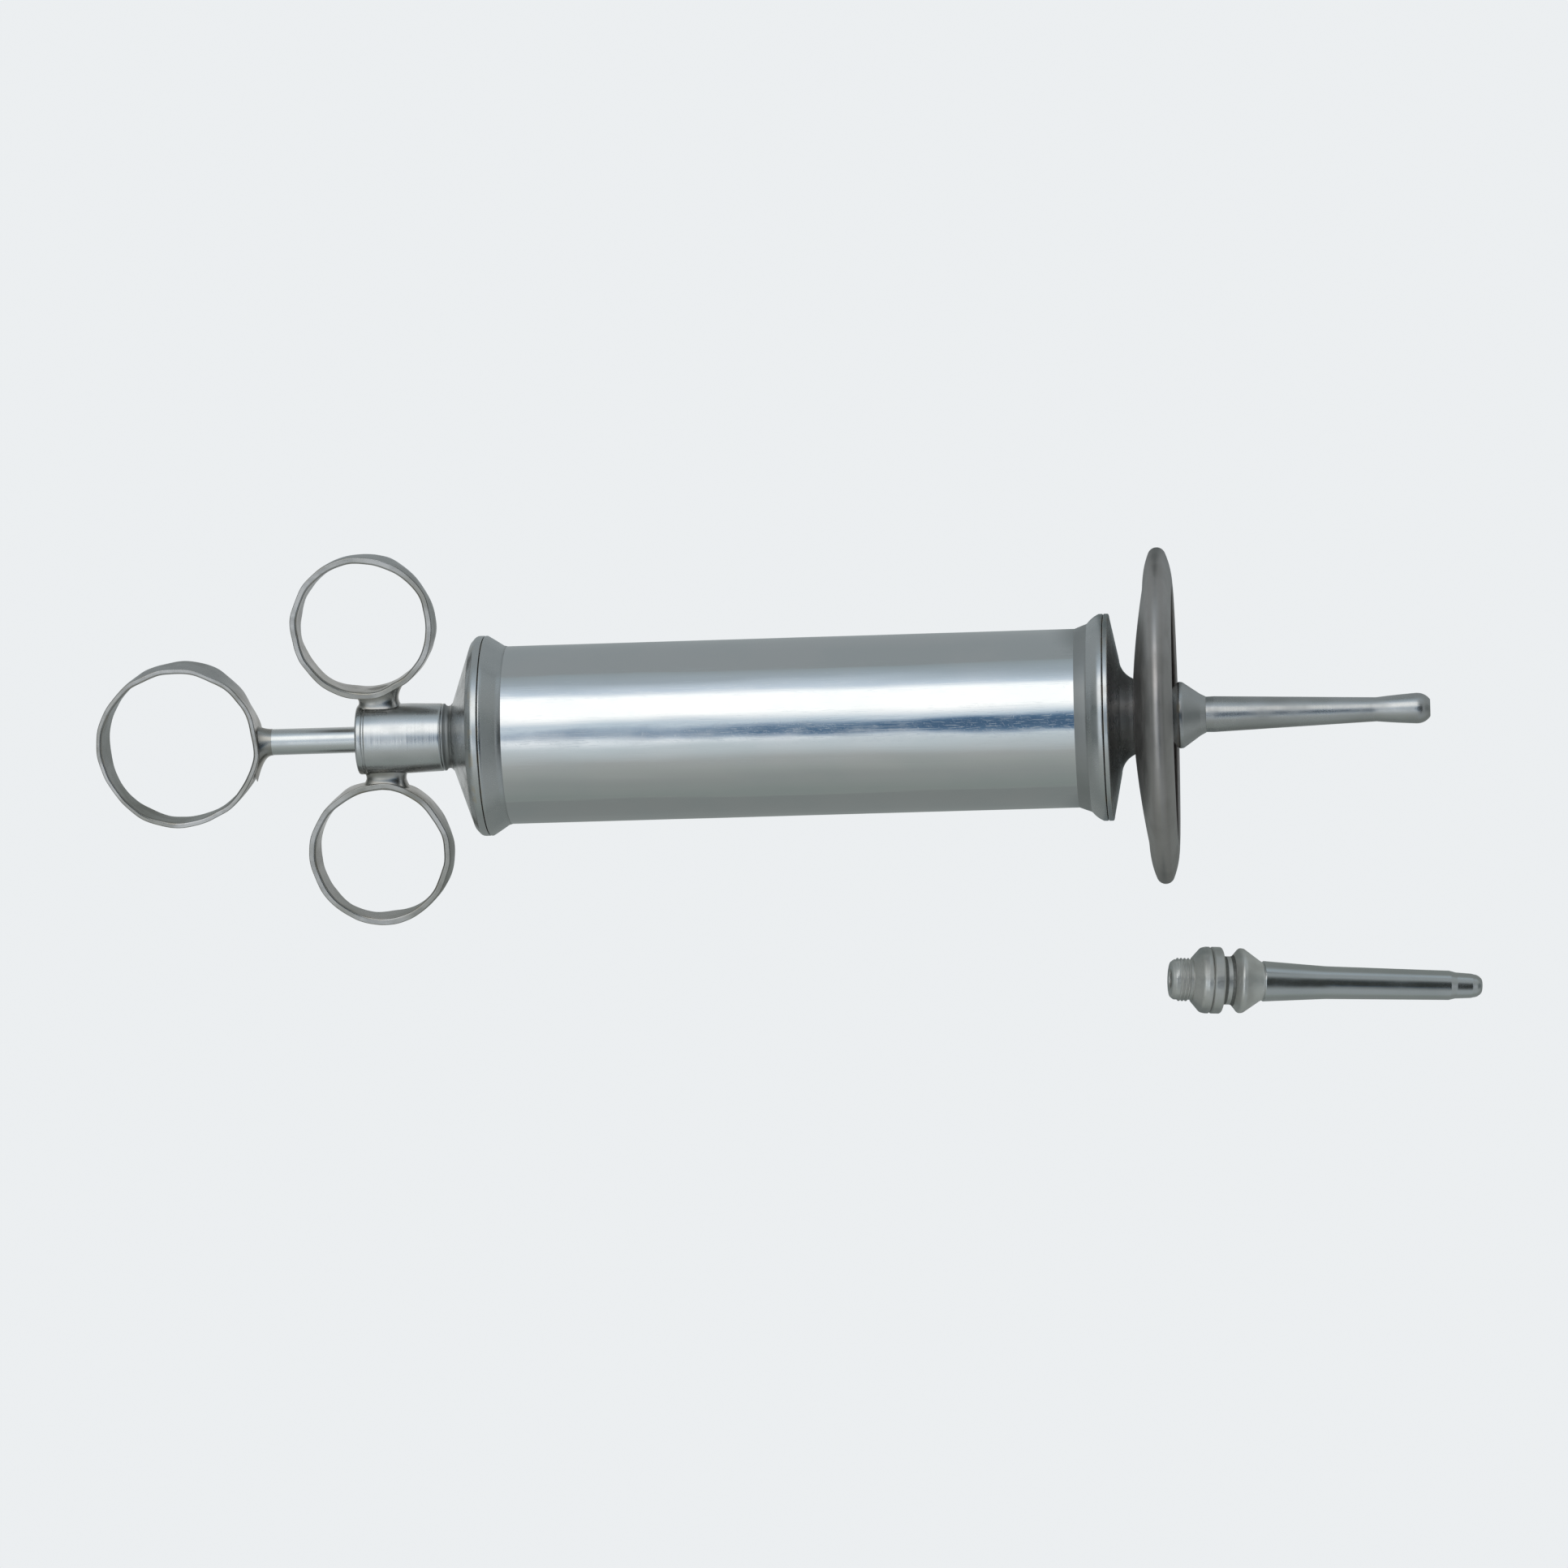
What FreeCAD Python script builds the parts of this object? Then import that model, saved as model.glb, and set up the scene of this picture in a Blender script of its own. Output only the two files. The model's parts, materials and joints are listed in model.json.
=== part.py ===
"""All-metal ear syringe, 75 ml, lying on a table, with one spare nozzle beside it.

Units are millimetres.  The syringe is turned in its own frame, where +X runs along its axis from the
thumb ring to the nozzle and x = 0 is the seam between the rear cap and the barrel.  It is then laid
down, so that it rests on the rear cap's rim and the splash shield's rim, on the plane z = 0.
"""
import FreeCAD, Part
import math
import os

V = FreeCAD.Vector
os.makedirs("parts", exist_ok=True)

# ---------------------------------------------------------------- fits
thread_clearance = 0.04       # radial, between a screwed spigot and its threaded socket
running_clearance = 0.04      # radial, between the rod and what it runs in
packing_clearance = 0.02      # radial, between the rod and its packing
leather_clearance = 0.04      # radial, between the cup leathers and the barrel's bore
disc_clearance = 0.30         # radial, between the metal piston discs and the barrel's bore
seat_gap = 0.05               # axial, between seats that turn on each other
cut_overrun = 1.0             # how far a cutting shape runs past what it cuts

# ---------------------------------------------------------------- barrel
barrel_radius = 17.0
barrel_wall = 0.8
barrel_span = 118.1           # from the rear collar's face to the front collar's face

# ---------------------------------------------------------------- collars soldered to the barrel
collar_web = 1.0              # metal that covers the end of the barrel tube
collar_thread_length = 6.0
collar_thread_radius = 14.9
collar_lip = 0.15             # edge that the collar stands above the barrel
rear_collar_radius = 19.15
rear_collar_land = 0.4
rear_collar_length = 3.4
front_collar_radius = 19.7
front_collar_land = 0.8
front_collar_length = 4.6
front_collar_belly = 0.35     # how far the front flare stands outside a straight cone

# ---------------------------------------------------------------- gaskets under the two caps
rear_gasket_thickness = 0.4
front_gasket_thickness = 0.4
gasket_set_back = 0.6         # the gasket stays this far inside the rims

# ---------------------------------------------------------------- rear cap
rear_rim_rounding = 1.1
rear_rim_land = 0.9
cap_thread_length = 5.0
cap_thread_wall = 1.46
rear_cap_wall = 1.4
cone_small_radius = 6.5
cone_length = 4.1
waist_radius = 5.95
waist_length = 2.0
sleeve_spigot_radius = 4.2
sleeve_spigot_length = 4.9
cap_boss_radius = 6.0
cap_boss_length = 3.3

# ---------------------------------------------------------------- guide sleeve and its gland
sleeve_radius = 6.7
sleeve_length = 16.5
sleeve_edge = 0.4
gland_nut_length = 5.2
gland_nut_recess = 0.3
packing_end_gap = 0.2

# ---------------------------------------------------------------- finger rings
finger_ring_bore = 12.35
finger_ring_wall = 1.25
finger_ring_crown = 0.12      # the band's outside is slightly domed
finger_ring_width = 6.3
finger_ring_gap = 1.65        # between a ring's outside and the guide sleeve
finger_ring_place = -21.9     # mean place of the two rings along the axis
finger_ring_stagger = 0.8     # each ring is soldered this far from the mean place
ring_edge = 0.4
saddle_half_length = 4.1
saddle_flare = 0.9
saddle_thickness = 5.0
saddle_stagger = 0.4
saddle_waist = 0.42           # the saddle starts to splay this far above the sleeve

# ---------------------------------------------------------------- plunger
rod_radius = 2.5
rod_thread_radius = 2.0
thumb_ring_bore = 14.5
thumb_ring_wall = 1.0
thumb_ring_crown = 0.1
thumb_ring_width = 7.7
rod_showing = 16.6            # bare rod between the guide sleeve and the thumb ring's ferrule
ferrule_length = 2.4
ferrule_radius = 3.9
ferrule_end_wall = 0.3
ferrule_hollow_place = 0.84   # the flare's hollow side passes this far from its wide end
ferrule_hollow_rise = 0.33    # and this far above its narrow end

# ---------------------------------------------------------------- piston
piston_front_gap = 0.8        # from the front leather's lip to the front collar, pushed home
cup_base = 1.2
cup_wall = 1.25
cup_depth = 5.0
cup_corner = 0.8
piston_disc_radius = 14.6
piston_disc_thickness = 1.6
piston_spacer_thickness = 3.0
lock_washer_thickness = 0.8
lock_washer_radius = 3.9
piston_nut_height = 3.5
piston_nut_flats = 9.0
rod_end_showing = 0.4
shoulder_radius = 4.5
shoulder_length = 2.0

# ---------------------------------------------------------------- front cap
front_rim_rounding = 0.5
front_rim_land = 0.1
front_face_rise = 1.7         # how far the face climbs towards the neck
front_face_inner = 11.0       # radius where the face turns into the neck's hollow
front_neck_radius = 7.3
front_neck_reach = 4.9        # from the seam to the end of the neck
front_neck_hollow_place = 1.04    # the hollow passes this far beyond the face's inner edge
front_neck_hollow_rise = 1.11     # and this far above the neck's end
front_cap_inside = 0.4        # from the seam back to the cap's inner face
front_boss_radius = 6.0
front_boss_length = 1.6
passage_radius = 2.6

# ---------------------------------------------------------------- nozzle base (same on both nozzles)
plug_radius = 4.2
plug_length = 4.2
plug_tip_radius = 3.4
plug_tip_length = 1.0
seat_cone_length = 1.6
seat_cone_small = 4.4
flange_radius = 6.5
flange_length = 4.1
flange_edge = 0.4
groove_radius = 4.6
groove_length = 2.4
bead_radius = 6.37
bead_rounding = 0.9
bead_rise = 1.5
bead_length = 5.9
bead_end_radius = 3.7
base_bore = 1.9
tube_socket_radius = 3.0
tube_socket_length = 5.2
nozzle_washer_thickness = 0.6

# ---------------------------------------------------------------- nozzle tubes
tube_root_radius = 3.5
outlet_radius = 1.25
long_tube_length = 42.9       # from the base to the tip
long_tube_waist_radius = 2.29
long_tube_waist_place = 32.7
long_tube_bulb_radius = 2.9
long_tube_bulb_place = 40.3
long_tube_tip_rounding = 0.9
long_tube_swell_place = 36.88 # where the bulb is already most of its size
long_tube_swell_radius = 2.67
long_tube_nose_place = 41.32  # half-way round the bulb's front
long_tube_nose_radius = 2.56
short_tube_root_radius = 4.0
short_tube_root_place = 12.5
short_tube_body_radius = 3.2
short_tube_end_radius = 2.87
short_tube_end_place = 37.0
short_tube_nose_radius = 2.5
short_tube_nose_place = 38.3
short_tube_tip_radius = 2.25
short_tube_tip_place = 41.9
short_tube_tip_rounding = 1.7
bore_taper_length = 28.0      # the bore narrows over this length from the base's end

# ---------------------------------------------------------------- splash shield
shield_radius = 32.0
shield_sheet = 0.7
shield_rim = 1.7              # outer radius of the rim, where the sheet is folded over
shield_rim_angle = 25.0       # the rounded rim ends this far above level, in degrees
shield_fold_reach = 7.0       # from the rim in to the lip, where the folded edge ends
shield_fold_half = 2.75       # half of the fold's width at the lip
shield_fold_middle = 3.3      # half-way up the fold, this far in from the rim
shield_fold_middle_half = 2.3 # and half of its width there
shield_bulge = 0.25           # how far the back stands out from a plain cone
shield_depth = 7.15           # from the hub's flat to the lip, on the hollow side
shield_flat_radius = 7.2

# ---------------------------------------------------------------- where the spare nozzle lies
spare_ahead = 1.85            # its threaded end is this far ahead of the shield's rim
spare_beside = 55.6           # and its axis this far to the side of the syringe's axis
spare_turn = -4.8             # degrees, seen from above


# ================================================================ drawing tools
def arc(centre_x, centre_r, radius, start, end):
    """An arc of a turned outline, as its middle and end points; angles in degrees from +X to +r."""
    middle = math.radians((start + end) / 2)
    last = math.radians(end)
    return (centre_x + radius * math.cos(middle), centre_r + radius * math.sin(middle),
            centre_x + radius * math.cos(last), centre_r + radius * math.sin(last))


def outline_wire(outline, place):
    """Closed wire through an outline of points (x, r) and arcs (middle x, r, end x, r)."""
    edges = []
    first = here = place(*outline[0])
    for step in outline[1:]:
        there = place(*step[-2:])
        if len(step) == 4:
            edges.append(Part.Arc(here, place(*step[:2]), there).toShape())
        elif (there - here).Length > 1e-6:
            edges.append(Part.LineSegment(here, there).toShape())
        here = there
    if (first - here).Length > 1e-6:
        edges.append(Part.LineSegment(here, first).toShape())
    return Part.Wire(edges)


def turned(outline):
    """Solid of revolution about the syringe's axis."""
    face = Part.Face(outline_wire(outline, lambda x, r: V(x, 0, r)))
    return one_solid(face.revolve(V(0, 0, 0), V(1, 0, 0), 360))


def one_solid(shape):
    """The single solid in a shape, with its faces turned outwards."""
    solid = shape.Solids[0] if shape.Solids else Part.Solid(shape)
    if solid.Volume < 0:
        solid.reverse()
    return solid


def washer(start, end, inner, outer):
    """Flat ring from x = start to x = end."""
    return turned([(start, inner), (start, outer), (end, outer), (end, inner)])


def band(centre_x, centre_y, bore, wall, crown, width, edge):
    """Finger or thumb ring: a flat band with rounded edges and a slightly domed outside."""
    outer = bore + wall
    half = width / 2
    flat = half - edge
    outline = [(bore, -flat), (bore, flat)]
    outline.append(arc(bore + edge, flat, edge, 180, 90))
    outline.append((outer - edge, half))
    outline.append(arc(outer - edge, flat, edge, 90, 0))
    outline.append((outer + crown, 0, outer, -flat))
    outline.append(arc(outer - edge, -flat, edge, 0, -90))
    outline.append((bore + edge, -half))
    outline.append(arc(bore + edge, -flat, edge, -90, -180))
    face = Part.Face(outline_wire(outline, lambda r, z: V(centre_x + r, centre_y, z)))
    return one_solid(face.revolve(V(centre_x, centre_y, 0), V(0, 0, 1), 360))


def filled_band(centre_x, centre_y, bore, wall, crown, width):
    """The room inside a ring's outer surface, for cutting what is soldered to it."""
    outer = bore + wall
    outline = [(0, -width), (outer - crown, -width), (outer + crown, 0, outer - crown, width), (0, width)]
    face = Part.Face(outline_wire(outline, lambda r, z: V(centre_x + r, centre_y, z)))
    return one_solid(face.revolve(V(centre_x, centre_y, 0), V(0, 0, 1), 360))


# ================================================================ stations along the axis
barrel_bore = barrel_radius - barrel_wall
rear_face = rear_gasket_thickness + 2 * seat_gap
front_face = rear_face + barrel_span
front_seam = front_face + front_gasket_thickness + 2 * seat_gap
tube_start = rear_face + collar_web
tube_end = front_face - collar_web
sleeve_front = -(rear_rim_land + rear_rim_rounding + cone_length + waist_length)
sleeve_rear = sleeve_front - sleeve_length
ring_clear_end = sleeve_rear - rod_showing - ferrule_length
thumb_ring_place = ring_clear_end - thumb_ring_bore - thumb_ring_wall
cap_thread_radius = collar_thread_radius - thread_clearance
cap_thread_bore = cap_thread_radius - cap_thread_wall
neck_end = front_seam + front_neck_reach
shield_back = neck_end + seat_gap
shield_front = shield_back + shield_sheet
rim_x = shield_front + shield_depth - shield_fold_half    # middle of the shield's rounded rim
rim_r = shield_radius - shield_rim
nozzle_start = shield_front + seat_gap - plug_length - seat_cone_length
base_length = plug_length + seat_cone_length + flange_length + groove_length + bead_length
socket_bottom = nozzle_start - seat_gap - nozzle_washer_thickness
socket_radius = plug_radius + thread_clearance
finger_ring_distance = sleeve_radius + finger_ring_gap + finger_ring_wall + finger_ring_bore
cone_stretch = math.hypot(seat_cone_length, flange_radius - seat_cone_small)
cone_stretch = cone_stretch / (flange_radius - seat_cone_small)   # along the axis, per sheet thickness


# ================================================================ barrel group
def barrel_tube():
    return washer(tube_start, tube_end, barrel_bore, barrel_radius)


def rear_collar():
    flare_end = rear_face + rear_collar_length
    return turned([(rear_face, collar_thread_radius), (rear_face, rear_collar_radius),
                   (rear_face + rear_collar_land, rear_collar_radius),
                   (flare_end, barrel_radius + collar_lip), (flare_end, barrel_radius),
                   (tube_start, barrel_radius), (tube_start, barrel_bore),
                   (rear_face + collar_thread_length, barrel_bore),
                   (rear_face + collar_thread_length, collar_thread_radius)])


def front_collar():
    flare_start = front_face - front_collar_length
    land_start = front_face - front_collar_land
    low = barrel_radius + collar_lip
    middle = ((flare_start + land_start) / 2, (low + front_collar_radius) / 2 + front_collar_belly)
    return turned([(front_face, collar_thread_radius), (front_face, front_collar_radius),
                   (land_start, front_collar_radius), (*middle, flare_start, low),
                   (flare_start, barrel_radius), (tube_end, barrel_radius), (tube_end, barrel_bore),
                   (front_face - collar_thread_length, barrel_bore),
                   (front_face - collar_thread_length, collar_thread_radius)])


# ================================================================ rear cap group
def rear_cap():
    rim_start = -(rear_rim_land + rear_rim_rounding)
    cone_start = rim_start - cone_length
    corner_radius = rear_collar_radius - rear_rim_rounding
    slope = cone_length / (corner_radius - cone_small_radius)
    wall_along = rear_cap_wall * math.sqrt(1 + slope ** 2)
    inner_cone_end = rim_start - (corner_radius - cap_thread_bore) * slope + wall_along
    inner_cone_start = rim_start - (corner_radius - cap_boss_radius) * slope + wall_along
    boss_end = inner_cone_start + cap_boss_length
    spigot_end = sleeve_front - sleeve_spigot_length
    bore = rod_radius + running_clearance
    waist_middle = (sleeve_front + cone_start) / 2
    return turned([(spigot_end, bore), (spigot_end, sleeve_spigot_radius),
                   (sleeve_front, sleeve_spigot_radius), (sleeve_front, cone_small_radius),
                   (waist_middle, waist_radius, cone_start, cone_small_radius),
                   (rim_start, corner_radius),
                   arc(rim_start + rear_rim_rounding, corner_radius, rear_rim_rounding, 180, 90),
                   (0, rear_collar_radius), (0, cap_thread_radius),
                   (cap_thread_length, cap_thread_radius), (cap_thread_length, cap_thread_bore),
                   (inner_cone_end, cap_thread_bore), (inner_cone_start, cap_boss_radius),
                   (boss_end, cap_boss_radius), (boss_end, bore)])


def rear_gasket():
    return washer(seat_gap, rear_face - seat_gap, collar_thread_radius,
                  rear_collar_radius - gasket_set_back)


def guide_sleeve():
    return turned([(sleeve_rear, sleeve_spigot_radius), (sleeve_rear, sleeve_radius - sleeve_edge),
                   arc(sleeve_rear + sleeve_edge, sleeve_radius - sleeve_edge, sleeve_edge, 180, 90),
                   (sleeve_front - sleeve_edge, sleeve_radius),
                   arc(sleeve_front - sleeve_edge, sleeve_radius - sleeve_edge, sleeve_edge, 90, 0),
                   (sleeve_front, sleeve_spigot_radius)])


def gland_nut():
    start = sleeve_rear + gland_nut_recess
    return washer(start, start + gland_nut_length, rod_radius + running_clearance, sleeve_spigot_radius)


def rod_packing():
    start = sleeve_rear + gland_nut_recess + gland_nut_length + packing_end_gap
    end = sleeve_front - sleeve_spigot_length - packing_end_gap
    return washer(start, end, rod_radius + packing_clearance, sleeve_spigot_radius)


def ring_place(side):
    """Centre of a finger ring; side is +1 on the left of the axis and -1 on the right."""
    return finger_ring_place - side * finger_ring_stagger, side * finger_ring_distance


def finger_ring(side):
    x, y = ring_place(side)
    return band(x, y, finger_ring_bore, finger_ring_wall, finger_ring_crown, finger_ring_width, ring_edge)


def ring_saddle(side):
    """Small block, splayed towards the ring, that joins a finger ring to the guide sleeve."""
    ring_x, ring_y = ring_place(side)
    x = sleeve_rear + saddle_half_length + saddle_stagger - side * saddle_stagger
    wide = saddle_half_length + saddle_flare
    far = abs(x - ring_x) + wide
    low = side * (sleeve_radius - saddle_thickness / 2)
    waist = side * (sleeve_radius + saddle_waist)
    high = side * (finger_ring_distance - math.sqrt(finger_ring_bore ** 2 - far ** 2))
    points = [(x - saddle_half_length, low), (x + saddle_half_length, low),
              (x + saddle_half_length, waist), (x + wide, high),
              (x - wide, high), (x - saddle_half_length, waist)]
    face = Part.Face(outline_wire(points, lambda a, b: V(a, b, -saddle_thickness / 2)))
    block = one_solid(face.extrude(V(0, 0, saddle_thickness)))
    sleeve = Part.makeCylinder(sleeve_radius, sleeve_length, V(sleeve_rear, 0, 0), V(1, 0, 0))
    ring = filled_band(ring_x, ring_y, finger_ring_bore, finger_ring_wall, finger_ring_crown,
                       finger_ring_width)
    return one_solid(block.cut(sleeve).cut(ring))


# ================================================================ plunger group
piston_lip = front_face - collar_thread_length - piston_front_gap
front_cup_base = piston_lip - cup_depth
spacer_start = front_cup_base - piston_spacer_thickness
rear_cup_base = spacer_start - cup_base
rear_disc_start = rear_cup_base - piston_disc_thickness
front_disc_end = front_cup_base + cup_base + piston_disc_thickness
nut_start = front_disc_end + seat_gap + lock_washer_thickness
shoulder_end = rear_disc_start - seat_gap
cup_radius = barrel_bore - leather_clearance


def plunger_rod():
    ring_side = thumb_ring_place + thumb_ring_bore
    end = nut_start + piston_nut_height + rod_end_showing
    rod = turned([(ring_side, 0), (ring_side, rod_radius), (shoulder_end, rod_radius),
                  (shoulder_end, rod_thread_radius), (end, rod_thread_radius), (end, 0)])
    ring = filled_band(thumb_ring_place, 0, thumb_ring_bore, thumb_ring_wall, thumb_ring_crown,
                       thumb_ring_width)
    return one_solid(rod.cut(ring))


def thumb_ring():
    return band(thumb_ring_place, 0, thumb_ring_bore, thumb_ring_wall, thumb_ring_crown,
                thumb_ring_width, ring_edge)


def thumb_ring_ferrule():
    start = thumb_ring_place + thumb_ring_bore
    full = ring_clear_end
    end = ring_clear_end + ferrule_length
    last = rod_radius + ferrule_end_wall
    hollow = (full + ferrule_hollow_place, last + ferrule_hollow_rise)
    ferrule = turned([(start, rod_radius), (start, ferrule_radius), (full, ferrule_radius),
                      (*hollow, end, last), (end, rod_radius)])
    ring = filled_band(thumb_ring_place, 0, thumb_ring_bore, thumb_ring_wall, thumb_ring_crown,
                       thumb_ring_width)
    return one_solid(ferrule.cut(ring))


def piston_shoulder():
    return washer(shoulder_end - shoulder_length, shoulder_end, rod_radius, shoulder_radius)


def piston_cup(base, forward):
    """Cup leather: a disc whose rim is turned along the barrel; forward is +1 or -1."""
    bore = rod_thread_radius + running_clearance
    inner = cup_radius - cup_wall
    corner = base + forward * cup_corner
    turn = (180, 90) if forward > 0 else (0, 90)
    top = base + forward * cup_base
    lip = base + forward * cup_depth
    return turned([(base, bore), (base, cup_radius - cup_corner),
                   arc(corner, cup_radius - cup_corner, cup_corner, *turn),
                   (lip, cup_radius), (lip, inner), (top, inner), (top, bore)])


def piston_disc(start):
    return washer(start, start + piston_disc_thickness, rod_thread_radius + running_clearance,
                  piston_disc_radius)


def piston_spacer():
    return washer(spacer_start, front_cup_base, rod_thread_radius + running_clearance,
                  barrel_bore - disc_clearance)


def lock_washer():
    start = front_disc_end + seat_gap
    return washer(start, start + lock_washer_thickness, rod_thread_radius, lock_washer_radius)


def piston_nut():
    corner = piston_nut_flats / math.sqrt(3)
    corners = [V(nut_start, corner * math.cos(math.radians(60 * k)), corner * math.sin(math.radians(60 * k)))
               for k in range(7)]
    block = Part.Face(Part.makePolygon(corners)).extrude(V(piston_nut_height, 0, 0))
    hole_start = nut_start - cut_overrun
    hole_end = nut_start + piston_nut_height + cut_overrun
    hole = turned([(hole_start, 0), (hole_start, rod_thread_radius), (hole_end, rod_thread_radius),
                   (hole_end, 0)])
    return one_solid(block.cut(hole))


# ================================================================ front cap and nozzle group
def front_cap():
    rim = front_collar_radius - front_rim_rounding
    rim_end = front_seam + front_rim_land + front_rim_rounding
    face_end = rim_end + front_face_rise
    hollow = (face_end + front_neck_hollow_place, front_neck_radius + front_neck_hollow_rise)
    inside = front_seam - front_cap_inside
    boss = inside - front_boss_length
    cone_rate = (flange_radius - seat_cone_small) / seat_cone_length
    seat_small = shield_front - seat_cone_length - shield_sheet * cone_stretch - seat_gap
    seat_large_radius = seat_cone_small + (neck_end - seat_small) * cone_rate
    return turned([(boss, passage_radius), (boss, front_boss_radius), (inside, front_boss_radius),
                   (inside, cap_thread_bore), (front_seam - cap_thread_length, cap_thread_bore),
                   (front_seam - cap_thread_length, cap_thread_radius),
                   (front_seam, cap_thread_radius), (front_seam, front_collar_radius),
                   (front_seam + front_rim_land, front_collar_radius),
                   arc(front_seam + front_rim_land, rim, front_rim_rounding, 90, 0),
                   (face_end, front_face_inner), (*hollow, neck_end, front_neck_radius),
                   (neck_end, seat_large_radius), (seat_small, seat_cone_small),
                   (seat_small, socket_radius), (socket_bottom, socket_radius),
                   (socket_bottom, passage_radius)])


def front_gasket():
    return washer(front_face + seat_gap, front_seam - seat_gap, collar_thread_radius,
                  front_collar_radius - gasket_set_back)


def nozzle_washer():
    return washer(socket_bottom, nozzle_start - seat_gap, passage_radius, plug_radius - thread_clearance)


def splash_shield():
    """Shallow dish of sheet metal with its edge folded over, and a coned hub under the nozzle's flange."""
    lip_r = shield_radius - shield_fold_reach
    fold_r = shield_radius - shield_fold_middle
    inner_rim = shield_rim - shield_sheet
    inner_half = shield_fold_half - shield_sheet
    inner_middle_half = shield_fold_middle_half - shield_sheet
    across = math.cos(math.radians(shield_rim_angle))
    above = math.sin(math.radians(shield_rim_angle))
    bowl_r = (shield_flat_radius + lip_r) / 2
    bowl_x = (shield_back + rim_x - shield_fold_half) / 2 - shield_bulge
    along = shield_sheet * cone_stretch
    cone_rate = (flange_radius - seat_cone_small) / seat_cone_length
    hole_x = shield_front - seat_cone_length
    back_cone_r = seat_cone_small + (shield_back - (hole_x - along)) * cone_rate
    return turned([(hole_x, seat_cone_small), (shield_front, flange_radius),
                   (shield_front, shield_flat_radius),
                   (bowl_x + shield_sheet, bowl_r, rim_x - inner_half, lip_r),
                   (rim_x - inner_middle_half, fold_r,
                    rim_x - inner_rim * across, rim_r + inner_rim * above),
                   arc(rim_x, rim_r, inner_rim, 180 - shield_rim_angle, shield_rim_angle),
                   (rim_x + inner_middle_half, fold_r, rim_x + inner_half, lip_r),
                   arc(rim_x + inner_half + shield_sheet / 2, lip_r, shield_sheet / 2, 180, 360),
                   (rim_x + shield_fold_middle_half, fold_r,
                    rim_x + shield_rim * across, rim_r + shield_rim * above),
                   arc(rim_x, rim_r, shield_rim, shield_rim_angle, 180 - shield_rim_angle),
                   (rim_x - shield_fold_middle_half, fold_r, rim_x - shield_fold_half, lip_r),
                   (bowl_x, bowl_r, shield_back, shield_flat_radius),
                   (shield_back, back_cone_r), (hole_x - along, seat_cone_small)])


def nozzle_base(start):
    """Turned brass base: threaded plug, seat cone, flange, groove and bead."""
    cone = start + plug_length
    flange = cone + seat_cone_length
    groove = flange + flange_length
    bead = groove + groove_length
    end = start + base_length
    apex = bead + bead_rise
    step = flange_radius - flange_edge
    fall = math.degrees(math.atan2(bead_radius - bead_end_radius, end - apex))
    socket = end - tube_socket_length
    return turned([(start, base_bore), (start, plug_tip_radius), (start + plug_tip_length, plug_radius),
                   (cone, plug_radius), (cone, seat_cone_small), (flange, flange_radius),
                   (groove - flange_edge, flange_radius),
                   arc(groove - flange_edge, step, flange_edge, 90, 0),
                   (groove, groove_radius), (bead, groove_radius),
                   (apex - bead_rounding, bead_radius - bead_rounding),
                   arc(apex, bead_radius - bead_rounding, bead_rounding, 180, 90 - fall),
                   (end, bead_end_radius), (end, tube_socket_radius), (socket, tube_socket_radius),
                   (socket, base_bore)])


def long_tube(start):
    """Slim tube with a smooth bulb at its tip."""
    base = start + base_length
    root = base - tube_socket_length
    waist = base + long_tube_waist_place
    bulb = base + long_tube_bulb_place
    tip = base + long_tube_length
    rounding = long_tube_tip_rounding
    tip_r = outlet_radius + rounding
    swell = (base + long_tube_swell_place, long_tube_swell_radius)
    nose = (base + long_tube_nose_place, long_tube_nose_radius)
    return turned([(root, base_bore), (root, tube_socket_radius), (base, tube_socket_radius),
                   (base, tube_root_radius), (waist, long_tube_waist_radius),
                   (*swell, bulb, long_tube_bulb_radius), (*nose, tip - rounding, tip_r),
                   arc(tip - rounding, outlet_radius, rounding, 90, 0),
                   (base + bore_taper_length, outlet_radius)])


def short_tube(start):
    """Stouter tube with a bullet nose."""
    base = start + base_length
    root = base - tube_socket_length
    end = base + short_tube_end_place
    nose = base + short_tube_nose_place
    tip = base + short_tube_tip_place
    rounding = short_tube_tip_rounding
    centre_r = short_tube_tip_radius - rounding
    hole_angle = math.degrees(math.asin((outlet_radius - centre_r) / rounding))
    return turned([(root, base_bore), (root, tube_socket_radius), (base, tube_socket_radius),
                   (base, short_tube_root_radius),
                   (base + short_tube_root_place, short_tube_body_radius),
                   (end, short_tube_end_radius), (nose, short_tube_nose_radius),
                   (tip, short_tube_tip_radius),
                   arc(tip, centre_r, rounding, 90, hole_angle),
                   (base + bore_taper_length, outlet_radius)])


# ================================================================ laying the pieces on the table
def tangent_tilt(x1, r1, rounding1, x2, r2, rounding2):
    """Tilt that brings two rims, with rounded edges centred at (x, r), down to one plane."""
    distance = math.hypot(x2 - x1, r2 - r1)
    return math.atan2(r2 - r1, x2 - x1) + math.asin((rounding2 - rounding1) / distance)


syringe_tilt = tangent_tilt(-rear_rim_land, rear_collar_radius - rear_rim_rounding, rear_rim_rounding,
                            rim_x, rim_r, shield_rim)
syringe_height = ((rear_collar_radius - rear_rim_rounding) * math.cos(syringe_tilt) + rear_rim_rounding
                  + rear_rim_land * math.sin(syringe_tilt))
lay_syringe = FreeCAD.Placement(V(0, 0, syringe_height),
                                FreeCAD.Rotation(V(0, 1, 0), -math.degrees(syringe_tilt)))

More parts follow.
